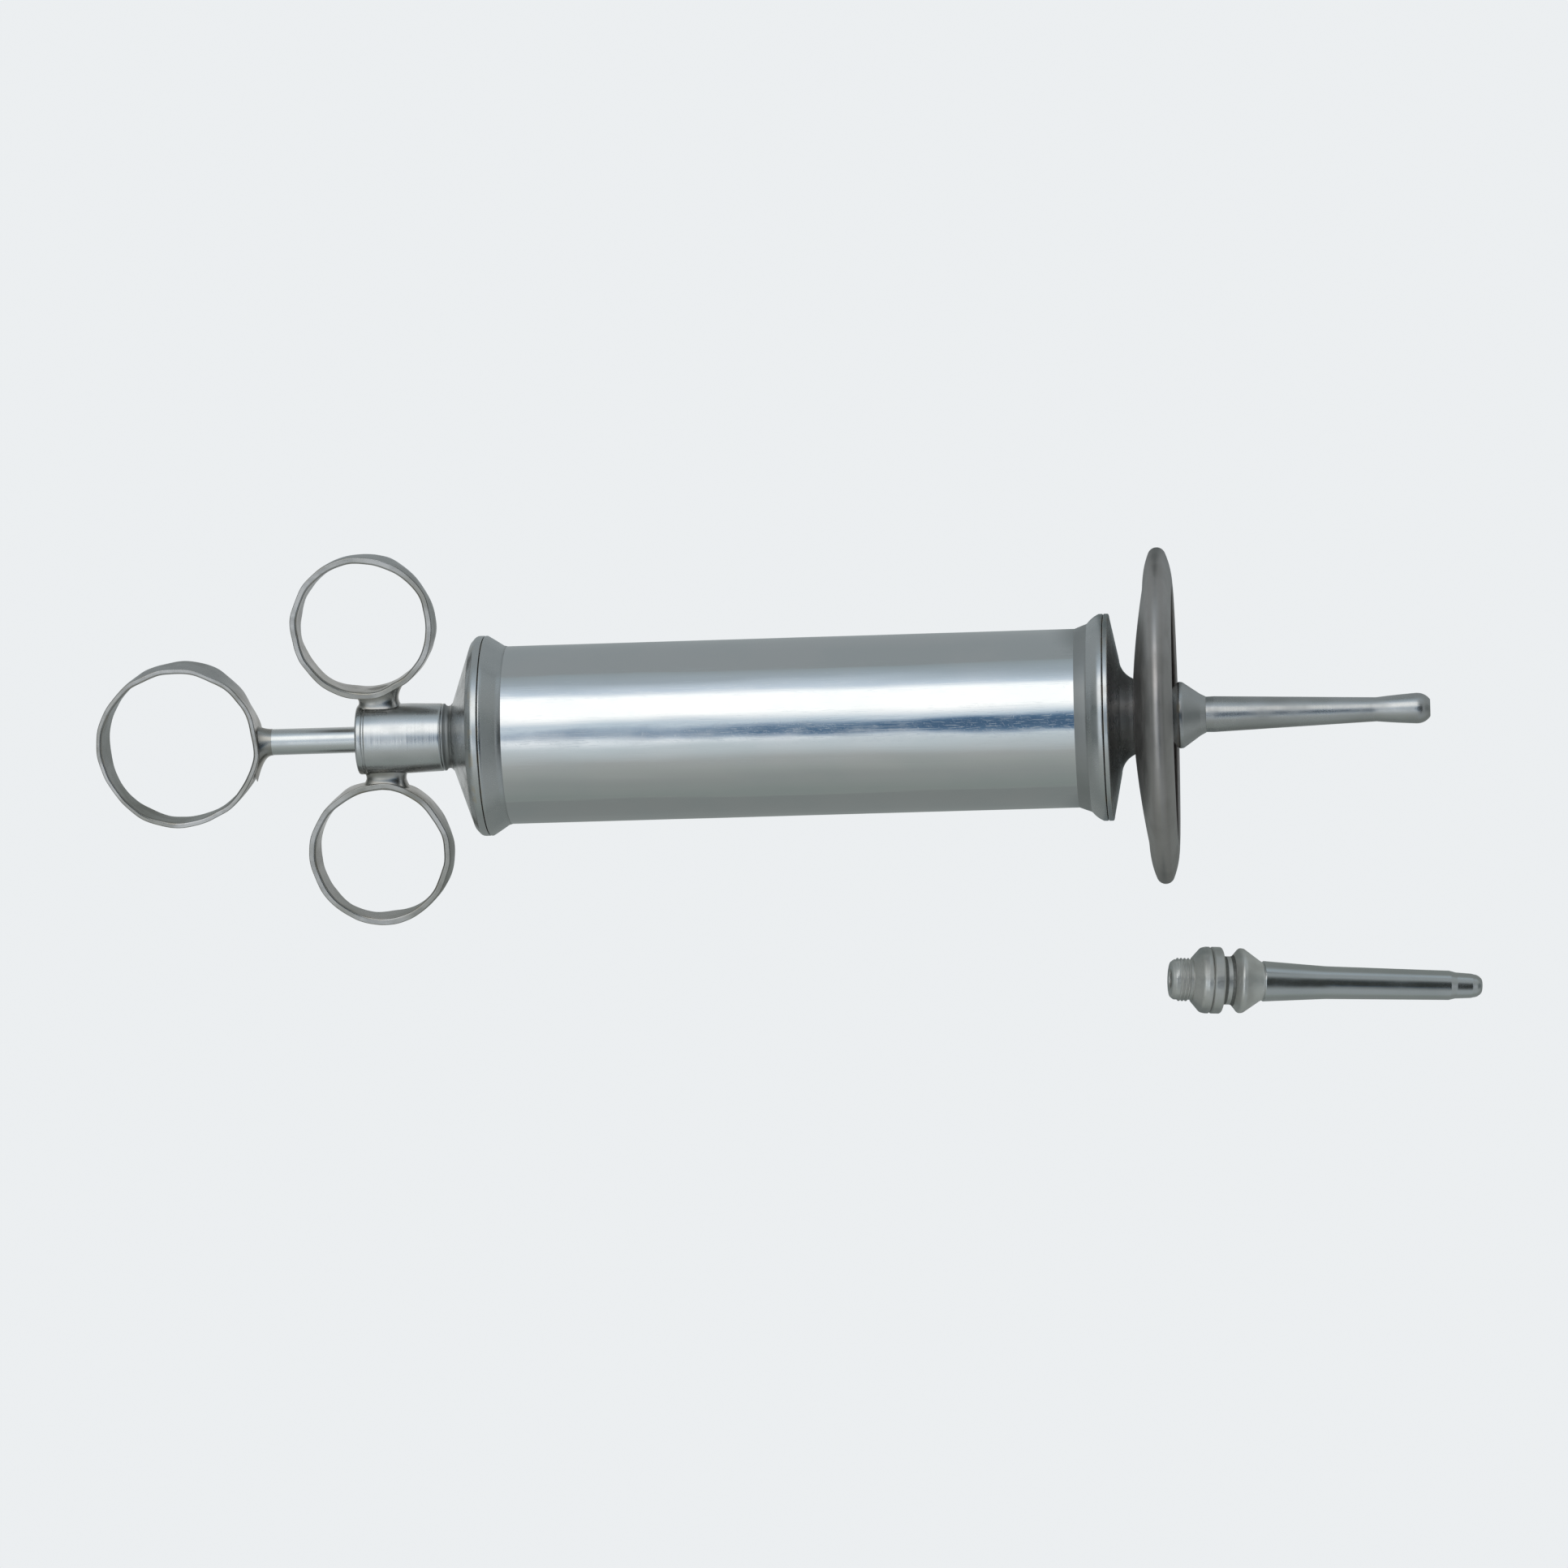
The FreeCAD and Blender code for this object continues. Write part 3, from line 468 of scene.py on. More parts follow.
def grain(tree, vector, stretch, detail, rough=0.5):
    """Noise of the metal's surface, stretched along x, y and z."""
    scaled = add_node(tree, "ShaderNodeVectorMath", {0: vector, 1: stretch},
                      operation="MULTIPLY").outputs[0]
    return add_node(tree, "ShaderNodeTexNoise", {"Vector": scaled, "Scale": 1.0, "Detail": detail,
                                                 "Roughness": rough}).outputs[0]


wipes = mapped(marks, grain(marks, own_place, (0.10, 3.2, 3.2), 3.0), 0.56, 0.74)
fine_wipes = mapped(marks, grain(marks, own_place, (0.35, 9.0, 9.0), 2.0), 0.60, 0.72)
slanted = add_node(marks, "ShaderNodeMapping",
                   {"Vector": own_place, "Rotation": (0.3, 0.5, 0.9)}).outputs[0]
cross_wipes = mapped(marks, grain(marks, slanted, (0.16, 5.0, 5.0), 2.0), 0.63, 0.73)
wiping = sum_up(marks, "MAXIMUM", sum_up(marks, "MAXIMUM", wipes, fine_wipes),
                sum_up(marks, "MULTIPLY", cross_wipes, 0.8))
rings = add_node(marks, "ShaderNodeTexNoise",
                 {"W": sum_up(marks, "DIVIDE", own["X"], given["Turning pitch"]), "Scale": 1.0,
                  "Detail": 3.0},
                 noise_dimensions="1D").outputs[0]
patch = grain(marks, own_place, (0.07, 0.09, 0.09), 3.0)
smudge = mapped(marks, grain(marks, own_place, (0.16, 0.22, 0.22), 4.0, 0.6), 0.42, 0.68)
pores_a_millimetre = sum_up(marks, "DIVIDE", 1.0, given["Pore size"])
pore_place = add_node(marks, "ShaderNodeVectorMath", {0: own_place, "Scale": pores_a_millimetre},
                      operation="SCALE").outputs[0]
pore = add_node(marks, "ShaderNodeTexNoise",
                {"Vector": pore_place, "Scale": 1.0, "Detail": 4.0, "Roughness": 0.65}).outputs[0]
dent = grain(marks, own_place, (0.035, 0.22, 0.22), 1.0)
marked = sum_up(marks, "MULTIPLY", wiping, given["Wipe marks"])
turned_marks = sum_up(marks, "MULTIPLY", sum_up(marks, "SUBTRACT", rings, 0.5), given["Turning marks"])
pitted = sum_up(marks, "MULTIPLY", sum_up(marks, "SUBTRACT", pore, 0.5), given["Pores"])
dented = sum_up(marks, "MULTIPLY", sum_up(marks, "SUBTRACT", dent, 0.5), given["Dents"])
dulled = sum_up(marks, "ADD", sum_up(marks, "MULTIPLY", smudge, given["Smudges"]), given["Polish"])
rough = sum_up(marks, "ADD", sum_up(marks, "MULTIPLY_ADD", marked, 0.35, dulled),
               sum_up(marks, "MULTIPLY", sum_up(marks, "ABSOLUTE", pitted), 0.25), clamp=True)
relief = sum_up(marks, "ADD", sum_up(marks, "SUBTRACT", turned_marks, marked),
                sum_up(marks, "ADD", pitted, dented))
add_node(marks, "NodeGroupOutput",
         {"Roughness": rough, "Height": relief, "Smudge": smudge, "Patch": patch})


def metal(name, colour, tint, wear, **worked):
    """A metal finish: colour varies a little towards tint in patches, and wear (a colour or None)
    shows through on edges that hands have rubbed.  Hollow corners are darkened with painted shade."""
    material = bpy.data.materials.new(name)
    material.use_nodes = True
    tree = material.node_tree
    shader = tree.nodes["Principled BSDF"]
    shader.inputs["Metallic"].default_value = 1.0
    group = tree.nodes.new("ShaderNodeGroup")
    group.node_tree = marks
    for key, value in worked.items():
        group.inputs[key.replace("_", " ")].default_value = value
    edge = add_node(tree, "ShaderNodeAttribute", attribute_name="edge").outputs["Fac"]
    patches = mapped(tree, group.outputs["Patch"], 0.40, 0.66)
    shade = blended(tree, patches, colour, tint)
    if wear is not None:
        rubbed = sum_up(tree, "MULTIPLY", mapped(tree, edge, 0.35, 1.0),
                        mapped(tree, group.outputs["Smudge"], 0.2, 0.9))
        shade = blended(tree, sum_up(tree, "MULTIPLY", rubbed, 0.30), shade, wear)
    # painted shade: points whose edge value is below 0 (hollow corners) are darkened towards near black, and made
    # rougher
    hollow_shade = mapped(tree, edge, -0.15, -1.0)
    shade = blended(tree, sum_up(tree, "MULTIPLY", hollow_shade, 0.75), shade, (0.15, 0.15, 0.14, 1.0))
    tree.links.new(shade, shader.inputs["Base Color"])
    tree.links.new(sum_up(tree, "MULTIPLY_ADD", hollow_shade, 0.25, group.outputs["Roughness"]),
                   shader.inputs["Roughness"])
    bump = add_node(tree, "ShaderNodeBump",
                    {"Height": group.outputs["Height"], "Strength": 1.0, "Distance": 1.0e-5})
    tree.links.new(bump.outputs[0], shader.inputs["Normal"])
    return material


buffed_plate = metal("buffed_plate", plate_colour, (0.655, 0.668, 0.672, 1.0), worn_brass,
                     Polish=0.05, Wipe_marks=0.2, Turning_marks=0.0, Smudges=0.07, Dents=11.0)

tube_start, tube_end, tube_bore, tube_radius = span("barrel_tube")
barrel = turned("barrel_skin", [(tube_start, tube_bore), (tube_start, tube_radius),
                                (tube_end, tube_radius), (tube_end, tube_bore)],
                buffed_plate, longest=along_barrel, around=barrel_around, uneven=barrel_unevenness)
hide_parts("barrel_tube")
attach(barrel, "barrel")

# ------------------------------------------------------------------------------------------------
# Collars.
# Flared rings turned from brass and soldered over the two ends of the barrel, threaded inside for
# the caps.  The solder is wiped to a small fillet where each flare meets the tube.
# ------------------------------------------------------------------------------------------------
collar_edge = 0.18
rear_land, rear_flare_length = 0.4, 3.4
front_land, front_flare_length = 0.8, 4.6
collar_web = 1.0
solder_run = 0.9
solder_sunk = 0.03

turned_plate = metal("turned_plate", (0.600, 0.606, 0.608, 1.0), (0.545, 0.560, 0.562, 1.0), worn_brass,
                     Polish=0.23, Wipe_marks=0.08, Turning_marks=0.4, Turning_pitch=0.6,
                     Smudges=0.12, Dents=0.7)

collar_start, collar_end, collar_bore, collar_radius = span("rear_collar")
flare_end = collar_start + rear_flare_length
rear_collar = turned("rear_collar_flare", [
    (collar_start, collar_bore), (collar_start, collar_radius, collar_edge),
    *bow((collar_start + rear_land, collar_radius - 0.02),
         ((collar_start + rear_land + flare_end) / 2, (collar_radius + tube_radius) / 2 + 0.12),
         (flare_end, tube_radius + 0.20), 9),
    # the solder's foot has a negative edge value, so the finish darkens it with painted shade
    (flare_end + solder_run, tube_radius - solder_sunk, 0.0, -0.6),
    (collar_start + collar_web, tube_radius - solder_sunk), (collar_start + collar_web, tube_bore),
    (collar_end, tube_bore), (collar_end, collar_bore)], turned_plate, around=192)
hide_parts("rear_collar")
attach(rear_collar, "barrel")

collar_start, collar_end, collar_bore, collar_radius = span("front_collar")
flare_start = collar_end - front_flare_length
front_collar = turned("front_collar_flare", [
    (collar_end, collar_bore), (collar_end, collar_radius, collar_edge),
    *bow((collar_end - front_land, collar_radius - 0.02), (collar_end - 1.9, collar_radius - 0.66),
         (collar_end - 2.9, collar_radius - 1.62), 7),
    # the flare's hollow down to the solder has a negative edge value: painted shade from the finish
    *bow((collar_end - 3.1, collar_radius - 1.82), (flare_start + 0.15, tube_radius + 0.38),
         (flare_start - solder_run, tube_radius - solder_sunk), 9, -0.55),
    (collar_end - collar_web, tube_radius - solder_sunk), (collar_end - collar_web, tube_bore),
    (collar_start, tube_bore), (collar_start, collar_bore)], turned_plate, around=192, seed=2.0)
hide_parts("front_collar")
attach(front_collar, "barrel")

# ------------------------------------------------------------------------------------------------
# Rear cap.
# Turned brass cap that screws into the rear collar.  Its rim is rounded over, and a shallow cone
# runs down to a waist, where the guide sleeve is pushed on.
# ------------------------------------------------------------------------------------------------
rim_rounding, rim_land = 1.1, 0.9
cone_small_radius, cone_length = 6.5, 4.1
waist_radius, waist_length = 5.95, 2.0
thread_length, thread_wall, cap_wall = 5.0, 1.46, 1.4
spigot_radius, boss_radius, boss_length = 4.2, 6.0, 3.3
cap_thread_pitch, cap_thread_depth = 1.25, 0.55
gasket_lip, gasket_cover = 0.36, 0.5

cap_start, cap_end, cap_bore, cap_radius = span("rear_cap")
seam = 0.0
rim_start = -(rim_land + rim_rounding)
cone_start = rim_start - cone_length
waist_start = cone_start - waist_length
corner_radius = cap_radius - rim_rounding
thread_radius = collar_bore - 0.04
thread_bore = thread_radius - thread_wall
slope = cone_length / (corner_radius - cone_small_radius)
wall_along = cap_wall * math.hypot(1, slope)
inner_large = rim_start - (corner_radius - thread_bore) * slope + wall_along
inner_small = rim_start - (corner_radius - boss_radius) * slope + wall_along
rear_cap = turned("rear_cap_cone", [
    (cap_start, cap_bore), (cap_start, spigot_radius), (waist_start, spigot_radius),
    (waist_start, cone_small_radius, 0.3),
    # the waist has a negative edge value, so the finish darkens it with painted shade
    *bow((waist_start + 0.35, cone_small_radius - 0.12), ((waist_start + cone_start) / 2, waist_radius),
         (cone_start - 0.25, cone_small_radius - 0.1), 7, -0.75),
    (cone_start, cone_small_radius + 0.05, 0.5), (rim_start, corner_radius, rim_rounding),
    (rim_start + rim_rounding * 0.9, cap_radius, rim_rounding), (seam + gasket_lip, cap_radius, 0.15),
    (seam + gasket_lip, cap_radius - gasket_cover, 0.05), (seam, cap_radius - gasket_cover),
    (seam, thread_radius - cap_thread_depth), (thread_length, thread_radius - cap_thread_depth, 0.2),
    (thread_length, thread_bore, 0.2), (inner_large, thread_bore, 0.4),
    (inner_small, boss_radius, 0.4), (inner_small + boss_length, boss_radius, 0.2),
    (inner_small + boss_length, cap_bore)], turned_plate, around=192, longest=1.5, seed=3.0)
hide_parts("rear_cap")
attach(rear_cap, "rear_cap")

# Screw threads: one rib wound round the plain core, which starts and ends by sinking into it.
winding = bpy.data.node_groups.new("screw_thread", "GeometryNodeTree")
for name, kind, default in (("Start", "NodeSocketFloat", 0.0), ("Crest radius", "NodeSocketFloat", 4.0),
                            ("Depth", "NodeSocketFloat", 0.3), ("Pitch", "NodeSocketFloat", 0.7),
                            ("Turns", "NodeSocketFloat", 5.0), ("Steps a turn", "NodeSocketInt", 64),
                            ("Finish", "NodeSocketMaterial", None)):
    tree_input(winding, name, kind, default)
winding.interface.new_socket("Thread", in_out="OUTPUT", socket_type="NodeSocketGeometry")
given = add_node(winding, "NodeGroupInput").outputs
steps = sum_up(winding, "MULTIPLY", given["Turns"], given["Steps a turn"])
rows = sum_up(winding, "ADD", steps, 1.0)
strip = add_node(winding, "GeometryNodeMeshGrid",
                 {"Size X": 1.0, "Size Y": 4.0, "Vertices X": rows, "Vertices Y": 5})
at = add_node(winding, "ShaderNodeSeparateXYZ",
              {0: add_node(winding, "GeometryNodeInputPosition").outputs[0]}).outputs
share = sum_up(winding, "ADD", at["X"], 0.5)
corner = sum_up(winding, "ROUND", sum_up(winding, "ADD", at["Y"], 2.0))
# corners 0 to 4 run foot, crest, crest, foot and back to the first foot under the rib
crest, right_foot, right_crest = [
    sum_up(winding, "MULTIPLY", sum_up(winding, "GREATER_THAN", corner, low),
           sum_up(winding, "LESS_THAN", corner, high))
    for low, high in ((0.5, 2.5), (2.5, 3.5), (1.5, 2.5))]
rib_foot_half, rib_crest_half, rib_sunk = 0.42, 0.09, 0.15
feet = sum_up(winding, "MULTIPLY", sum_up(winding, "SUBTRACT", 1.0, crest), -rib_foot_half)
left_crest = sum_up(winding, "SUBTRACT", crest, right_crest)
across = sum_up(winding, "ADD", sum_up(winding, "MULTIPLY_ADD", right_foot, 2 * rib_foot_half, feet),
                sum_up(winding, "SUBTRACT", sum_up(winding, "MULTIPLY", right_crest, rib_crest_half),
                       sum_up(winding, "MULTIPLY", left_crest, rib_crest_half)))
fade = sum_up(winding, "MULTIPLY", mapped(winding, share, 0.0, 0.06), mapped(winding, share, 1.0, 0.94))
lift = sum_up(winding, "SUBTRACT", sum_up(winding, "MULTIPLY", crest, fade), 1 + rib_sunk)
rib_radius = sum_up(winding, "MULTIPLY_ADD", lift, given["Depth"],
                    sum_up(winding, "MULTIPLY_ADD", given["Depth"], rib_sunk, given["Crest radius"]))
turn_angle = sum_up(winding, "MULTIPLY", sum_up(winding, "MULTIPLY", share, given["Turns"]), 2 * math.pi)
rib_x = sum_up(winding, "ADD", given["Start"],
               sum_up(winding, "MULTIPLY", given["Pitch"],
                      sum_up(winding, "ADD", sum_up(winding, "MULTIPLY", share, given["Turns"]),
                             sum_up(winding, "ADD", across, 0.5))))
rib_side = sum_up(winding, "MULTIPLY", rib_radius, sum_up(winding, "SINE", turn_angle))
rib_height = sum_up(winding, "MULTIPLY", rib_radius, sum_up(winding, "COSINE", turn_angle))
rib_place = add_node(winding, "ShaderNodeCombineXYZ", {0: rib_x, 1: rib_side, 2: rib_height}).outputs[0]
finish_grid(winding, given, strip.outputs["Mesh"], rib_place, crest, 0.0005)


def thread(name, start, crest_radius, depth, pitch, turns, finish, lay=syringe_lay):
    """A screw thread's rib, in millimetres."""
    values = {"Start": start, "Crest radius": crest_radius, "Depth": depth, "Pitch": pitch,
              "Turns": turns, "Finish": finish}
    return baked(name, bpy.data.meshes.new(name), winding, values, lay)


cap_turns = (thread_length - 0.6) / cap_thread_pitch - 1
rear_thread = thread("rear_cap_thread", seam + 0.3, thread_radius, cap_thread_depth, cap_thread_pitch,
                     cap_turns, turned_plate)
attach(rear_thread, "rear_cap")

# ------------------------------------------------------------------------------------------------
# Gaskets.
# Greased leather washers under the rims of the two caps, hidden while the caps are screwed home.
# ------------------------------------------------------------------------------------------------
leather = bpy.data.materials.new("greased_leather")
leather.use_nodes = True
hide = leather.node_tree
hide_shader = hide.nodes["Principled BSDF"]
hide_dark, hide_light = (0.060, 0.036, 0.021, 1.0), (0.115, 0.068, 0.036, 1.0)
hide_crease = (0.030, 0.018, 0.011, 1.0)
hide_place = add_node(hide, "ShaderNodeMapping",
                      {"Vector": add_node(hide, "ShaderNodeTexCoord").outputs["Object"],
                       "Scale": (1000.0, 1000.0, 1000.0)}).outputs[0]
pebble = add_node(hide, "ShaderNodeTexVoronoi", {"Vector": hide_place, "Scale": 2.6},
                  feature="DISTANCE_TO_EDGE").outputs[0]
mottle = add_node(hide, "ShaderNodeTexNoise",
                  {"Vector": hide_place, "Scale": 0.5, "Detail": 5.0}).outputs[0]
hide_colour = blended(hide, mapped(hide, mottle, 0.35, 0.65), hide_dark, hide_light)
hide.links.new(blended(hide, mapped(hide, pebble, 0.09, 0.0), hide_colour, hide_crease),
               hide_shader.inputs["Base Color"])
hide.links.new(mapped(hide, mottle, 0.3, 0.7, 0.38, 0.62), hide_shader.inputs["Roughness"])
hide_bump = add_node(hide, "ShaderNodeBump", {"Height": pebble, "Strength": 0.6, "Distance": 6.0e-5})
hide.links.new(hide_bump.outputs[0], hide_shader.inputs["Normal"])


def finish_node(node, material):
    """Gives a part that keeps its own shape a finish."""
    part = frame["nodes"][node]
    part.data.materials.clear()
    part.data.materials.append(material)


for node in ("rear_gasket", "front_gasket"):
    finish_node(node, leather)

# ------------------------------------------------------------------------------------------------
# Guide sleeve, with its gland nut and packing.
# A short turned tube on the cap's spigot, which steadies the rod.  Tool marks still show round it,
# and it narrows a little towards the cap.  The gland nut squeezes a leather packing on the rod.
# ------------------------------------------------------------------------------------------------
sleeve_taper = 0.22
sleeve_edge = 0.45

sleeve_plate = metal("sleeve_plate", (0.640, 0.645, 0.648, 1.0), (0.520, 0.530, 0.530, 1.0), worn_brass,
                     Polish=0.23, Wipe_marks=0.06, Turning_marks=2.2, Turning_pitch=0.7,
                     Smudges=0.10, Dents=1.4)
bare_brass = metal("bare_brass", (0.52, 0.38, 0.19, 1.0), (0.36, 0.25, 0.12, 1.0), None,
                   Polish=0.28, Wipe_marks=0.3, Turning_marks=1.2, Turning_pitch=0.35, Smudges=0.2)

sleeve_start, sleeve_end, sleeve_bore, sleeve_radius = span("guide_sleeve")
sleeve = turned("guide_sleeve_tube", [
    (sleeve_start, sleeve_bore, 0.15), (sleeve_start, sleeve_radius, sleeve_edge),
    (sleeve_start + 1.1, sleeve_radius, 0.2), (sleeve_start + 1.3, sleeve_radius - 0.12, 0.08),
    (sleeve_start + 1.6, sleeve_radius - 0.12, 0.08), (sleeve_start + 1.8, sleeve_radius, 0.2),
    (sleeve_start + 10.0, sleeve_radius, 3.0), (sleeve_end, sleeve_radius - sleeve_taper, sleeve_edge),
    (sleeve_end, sleeve_bore)], sleeve_plate, around=160, longest=1.5, uneven=0.0018, seed=4.0)
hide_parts("guide_sleeve")
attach(sleeve, "rear_cap")
finish_node("gland_nut", bare_brass)
finish_node("rod_packing", leather)

# ------------------------------------------------------------------------------------------------
# Finger rings and thumb ring.
# Flat brass strip bent round a mandrel by hand, soldered shut and plated.  No ring is quite round,
# and the strip leans and thins a little from place to place.
# ------------------------------------------------------------------------------------------------
finger_wall, finger_crown, finger_width = 1.25, 0.12, 6.3
thumb_wall, thumb_crown, thumb_width = 1.0, 0.1, 7.7
band_edge = 0.38
out_of_round, strip_lean, strip_thinning = 0.36, 0.24, 0.18

bending = bpy.data.node_groups.new("bent_strip", "GeometryNodeTree")
for name, kind, default in (("Outline", "NodeSocketGeometry", None), ("Outline points", "NodeSocketInt", 8),
                            ("Steps round", "NodeSocketInt", 96), ("Bore", "NodeSocketFloat", 12.0),
                            ("Out of round", "NodeSocketFloat", 0.1), ("Lean", "NodeSocketFloat", 0.0),
                            ("Thinning", "NodeSocketFloat", 0.0), ("Seed", "NodeSocketFloat", 1.0),
                            ("Finish", "NodeSocketMaterial", None)):
    tree_input(bending, name, kind, default)
bending.interface.new_socket("Ring", in_out="OUTPUT", socket_type="NodeSocketGeometry")
given = add_node(bending, "NodeGroupInput").outputs
grid, angle, spot, edge = number_grid(bending, given)
cosine, sine = sum_up(bending, "COSINE", angle), sum_up(bending, "SINE", angle)
circle = add_node(bending, "ShaderNodeCombineXYZ", {0: cosine, 1: sine, 2: 0.0}).outputs[0]
wander, ripple, lean_noise, thin_noise = [
    noise(bending, circle, sum_up(bending, "ADD", given["Seed"], shift), scale, 1.0)
    for shift, scale in ((0.0, 1.15), (20.0, 3.0), (40.0, 1.5), (60.0, 1.6))]
off_round = sum_up(bending, "MULTIPLY", sum_up(bending, "MULTIPLY_ADD", ripple, 0.35, wander),
                   given["Out of round"])
lean = sum_up(bending, "MULTIPLY", lean_noise, given["Lean"])
thin = sum_up(bending, "MULTIPLY_ADD", thin_noise, given["Thinning"], 1.0)
through = sum_up(bending, "MULTIPLY", spot["X"], thin)
ring_radius = sum_up(bending, "ADD", sum_up(bending, "ADD", given["Bore"], off_round),
                     sum_up(bending, "MULTIPLY_ADD", spot["Y"], lean, through))
bent = add_node(bending, "ShaderNodeCombineXYZ",
                {0: sum_up(bending, "MULTIPLY", ring_radius, cosine),
                 1: sum_up(bending, "MULTIPLY", ring_radius, sine), 2: spot["Y"]}).outputs[0]
finish_grid(bending, given, grid, bent, edge)

ring_plate = metal("ring_plate", (0.500, 0.485, 0.475, 1.0), (0.330, 0.318, 0.290, 1.0),
                   (0.46, 0.39, 0.27, 1.0),
                   Polish=0.22, Wipe_marks=0.05, Turning_marks=0.0, Smudges=0.16, Dents=3.0)


def bent_ring(name, centre_x, centre_y, bore, wall, crown, width, seed):
    """A ring of flat strip, level with the syringe's axis, in millimetres."""
    half = width / 2
    section = rounded([(0.0, -half, band_edge), (0.0, half, band_edge), (wall, half, band_edge),
                       *bow((wall, half - band_edge), (wall + crown, 0.0), (wall, band_edge - half), 7),
                       (wall, -half, band_edge)], 1.2)
    values = {"Outline points": len(section), "Steps round": 176, "Bore": bore, "Seed": seed,
              "Out of round": out_of_round, "Lean": strip_lean, "Thinning": strip_thinning,
              "Finish": ring_plate}
    return baked(name, outline_mesh(name, section), bending, values,
                 syringe_lay @ Matrix.Translation((centre_x, centre_y, 0.0)))


def flat_middle(node):
    """A ring's centre in the syringe's own frame, in millimetres."""
    back = syringe_lay.inverted()
    points = np.array([back @ v.co for v in frame["nodes"][node].data.vertices])
    return (points.min(0) + points.max(0)) / 2


finger_bore = mounts["finger_ring_left_bore"]["dims"]["r_mm"]
thumb_bore = mounts["thumb_ring_bore"]["dims"]["r_mm"]
finger_middles = {}
for side, seed in (("left", 3.0), ("right", 8.0)):
    node = "finger_ring_" + side
    finger_middles[side] = flat_middle(node)
    ring = bent_ring(node + "_strip", *finger_middles[side][:2], finger_bore, finger_wall, finger_crown,
                     finger_width, seed)
    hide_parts(node)
    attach(ring, "rear_cap")
thumb_middle = flat_middle("thumb_ring")
ring = bent_ring("thumb_ring_strip", *thumb_middle[:2], thumb_bore, thumb_wall, thumb_crown,
                 thumb_width, 14.0)
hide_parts("thumb_ring")
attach(ring, "plunger")

# ------------------------------------------------------------------------------------------------
# Ring saddles.
# Small brass blocks, hollowed at both ends, that carry the finger rings on the sleeve.  Solder has
# run into their corners, so their sides are curved.
# ------------------------------------------------------------------------------------------------
saddle_half, saddle_ring_flare, saddle_sleeve_flare = 3.5, 1.7, 0.9
saddle_thick, saddle_thick_flare = 2.2, 0.7
saddle_square = 3.0
sleeve_sink, ring_sink = 0.6, 0.5


def lofted(name, sections, finish, lay, bend=None, offset=0.0, steps=64):
    """Closed skin through sections (place, centre, half width, half height, squareness); bend may
    work out a point's place from its section's place, its width, its height and the offset."""
    points, faces = [], []
    for place, middle, half_w, half_h, square in sections:
        for k in range(steps):
            c, s = math.cos(2 * math.pi * k / steps), math.sin(2 * math.pi * k / steps)
            w = middle + half_w * math.copysign(abs(c) ** (2 / square), c)
            h = half_h * math.copysign(abs(s) ** (2 / square), s)
            points.append((bend(place, w, h, offset) if bend else place, w, h))
    for row in range(len(sections) - 1):
        for k in range(steps):
            a, b = row * steps + k, row * steps + (k + 1) % steps
            faces.append((a, b, b + steps, a + steps))
    last_row = (len(sections) - 1) * steps
    faces += [tuple(reversed(range(steps))), tuple(range(last_row, last_row + steps))]
    mesh = bpy.data.meshes.new(name)
    mesh.from_pydata(points, [], faces)
    mesh.transform(lay)
    if signed_volume(mesh) < 0:
        mesh.flip_normals()
    mesh.shade_smooth()
    mesh.set_sharp_from_angle(angle=math.radians(50))
    mesh.materials.append(finish)
    piece = bpy.data.objects.new(name, mesh)
    bpy.context.scene.collection.objects.link(piece)
    return piece


ring_outer = finger_bore + finger_wall
ring_away = abs(finger_middles["left"][1])


def between_sleeve_and_ring(share, along, height, ring_offset):
    """Distance from the syringe's axis, from just inside the sleeve (0) to just inside the ring (1)."""
    on_sleeve = math.sqrt(sleeve_radius ** 2 - height ** 2) - sleeve_sink
    on_ring = ring_away - math.sqrt(ring_outer ** 2 - (along - ring_offset) ** 2) + ring_sink
    return on_sleeve + (on_ring - on_sleeve) * share


for side, sign in (("left", 1), ("right", -1)):
    node = "ring_saddle_" + side
    rows = []
    for k in range(21):
        share = k / 20
        ring_swell, sleeve_swell = share ** 3, (1 - share) ** 3
        rows.append((share, 0.0,
                     saddle_half + saddle_ring_flare * ring_swell + saddle_sleeve_flare * sleeve_swell,
                     saddle_thick + saddle_thick_flare * (ring_swell + sleeve_swell), saddle_square))
    saddle_x = flat_middle(node)[0]
    outward = Matrix(((0, 1, 0, saddle_x), (sign, 0, 0, 0), (0, 0, 1, 0), (0, 0, 0, 1)))
    saddle = lofted(node + "_block", rows, ring_plate, syringe_lay @ outward, between_sleeve_and_ring,
                    finger_middles[side][0] - saddle_x)
    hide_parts(node)
    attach(saddle, "rear_cap")

# ------------------------------------------------------------------------------------------------
# Plunger rod and the ferrule that joins it to the thumb ring.
# Drawn brass rod, plated bright.  The ring is soldered to its end, and the solder runs out along
# one side of the ring in a long smooth web.
# ------------------------------------------------------------------------------------------------
ferrule_length, ferrule_sink = 2.4, 0.95
web_shift, web_half, web_thick = 1.9, 5.6, 3.1
solder_cover = 0.05

rod_plate = metal("rod_plate", (0.690, 0.700, 0.700, 1.0), (0.640, 0.655, 0.650, 1.0), None,
                  Polish=0.27, Wipe_marks=0.1, Turning_marks=0.3, Turning_pitch=0.8,
                  Smudges=0.06, Dents=0.5)

rod_start, rod_end, _, rod_radius = span("plunger_rod")
shoulder_end = span("piston_shoulder")[1]
rod_tip_radius = 2.0
rod = turned("plunger_rod_bar", [
    (rod_start + 0.1, 0.0), (rod_start + 0.1, rod_radius), (shoulder_end, rod_radius, 0.1),
    (shoulder_end, rod_tip_radius), (rod_end, rod_tip_radius, 0.3), (rod_end, 0.0)],
    rod_plate, around=72, longest=3.0, uneven=0.002, seed=5.0)
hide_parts("plunger_rod")
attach(rod, "plunger")

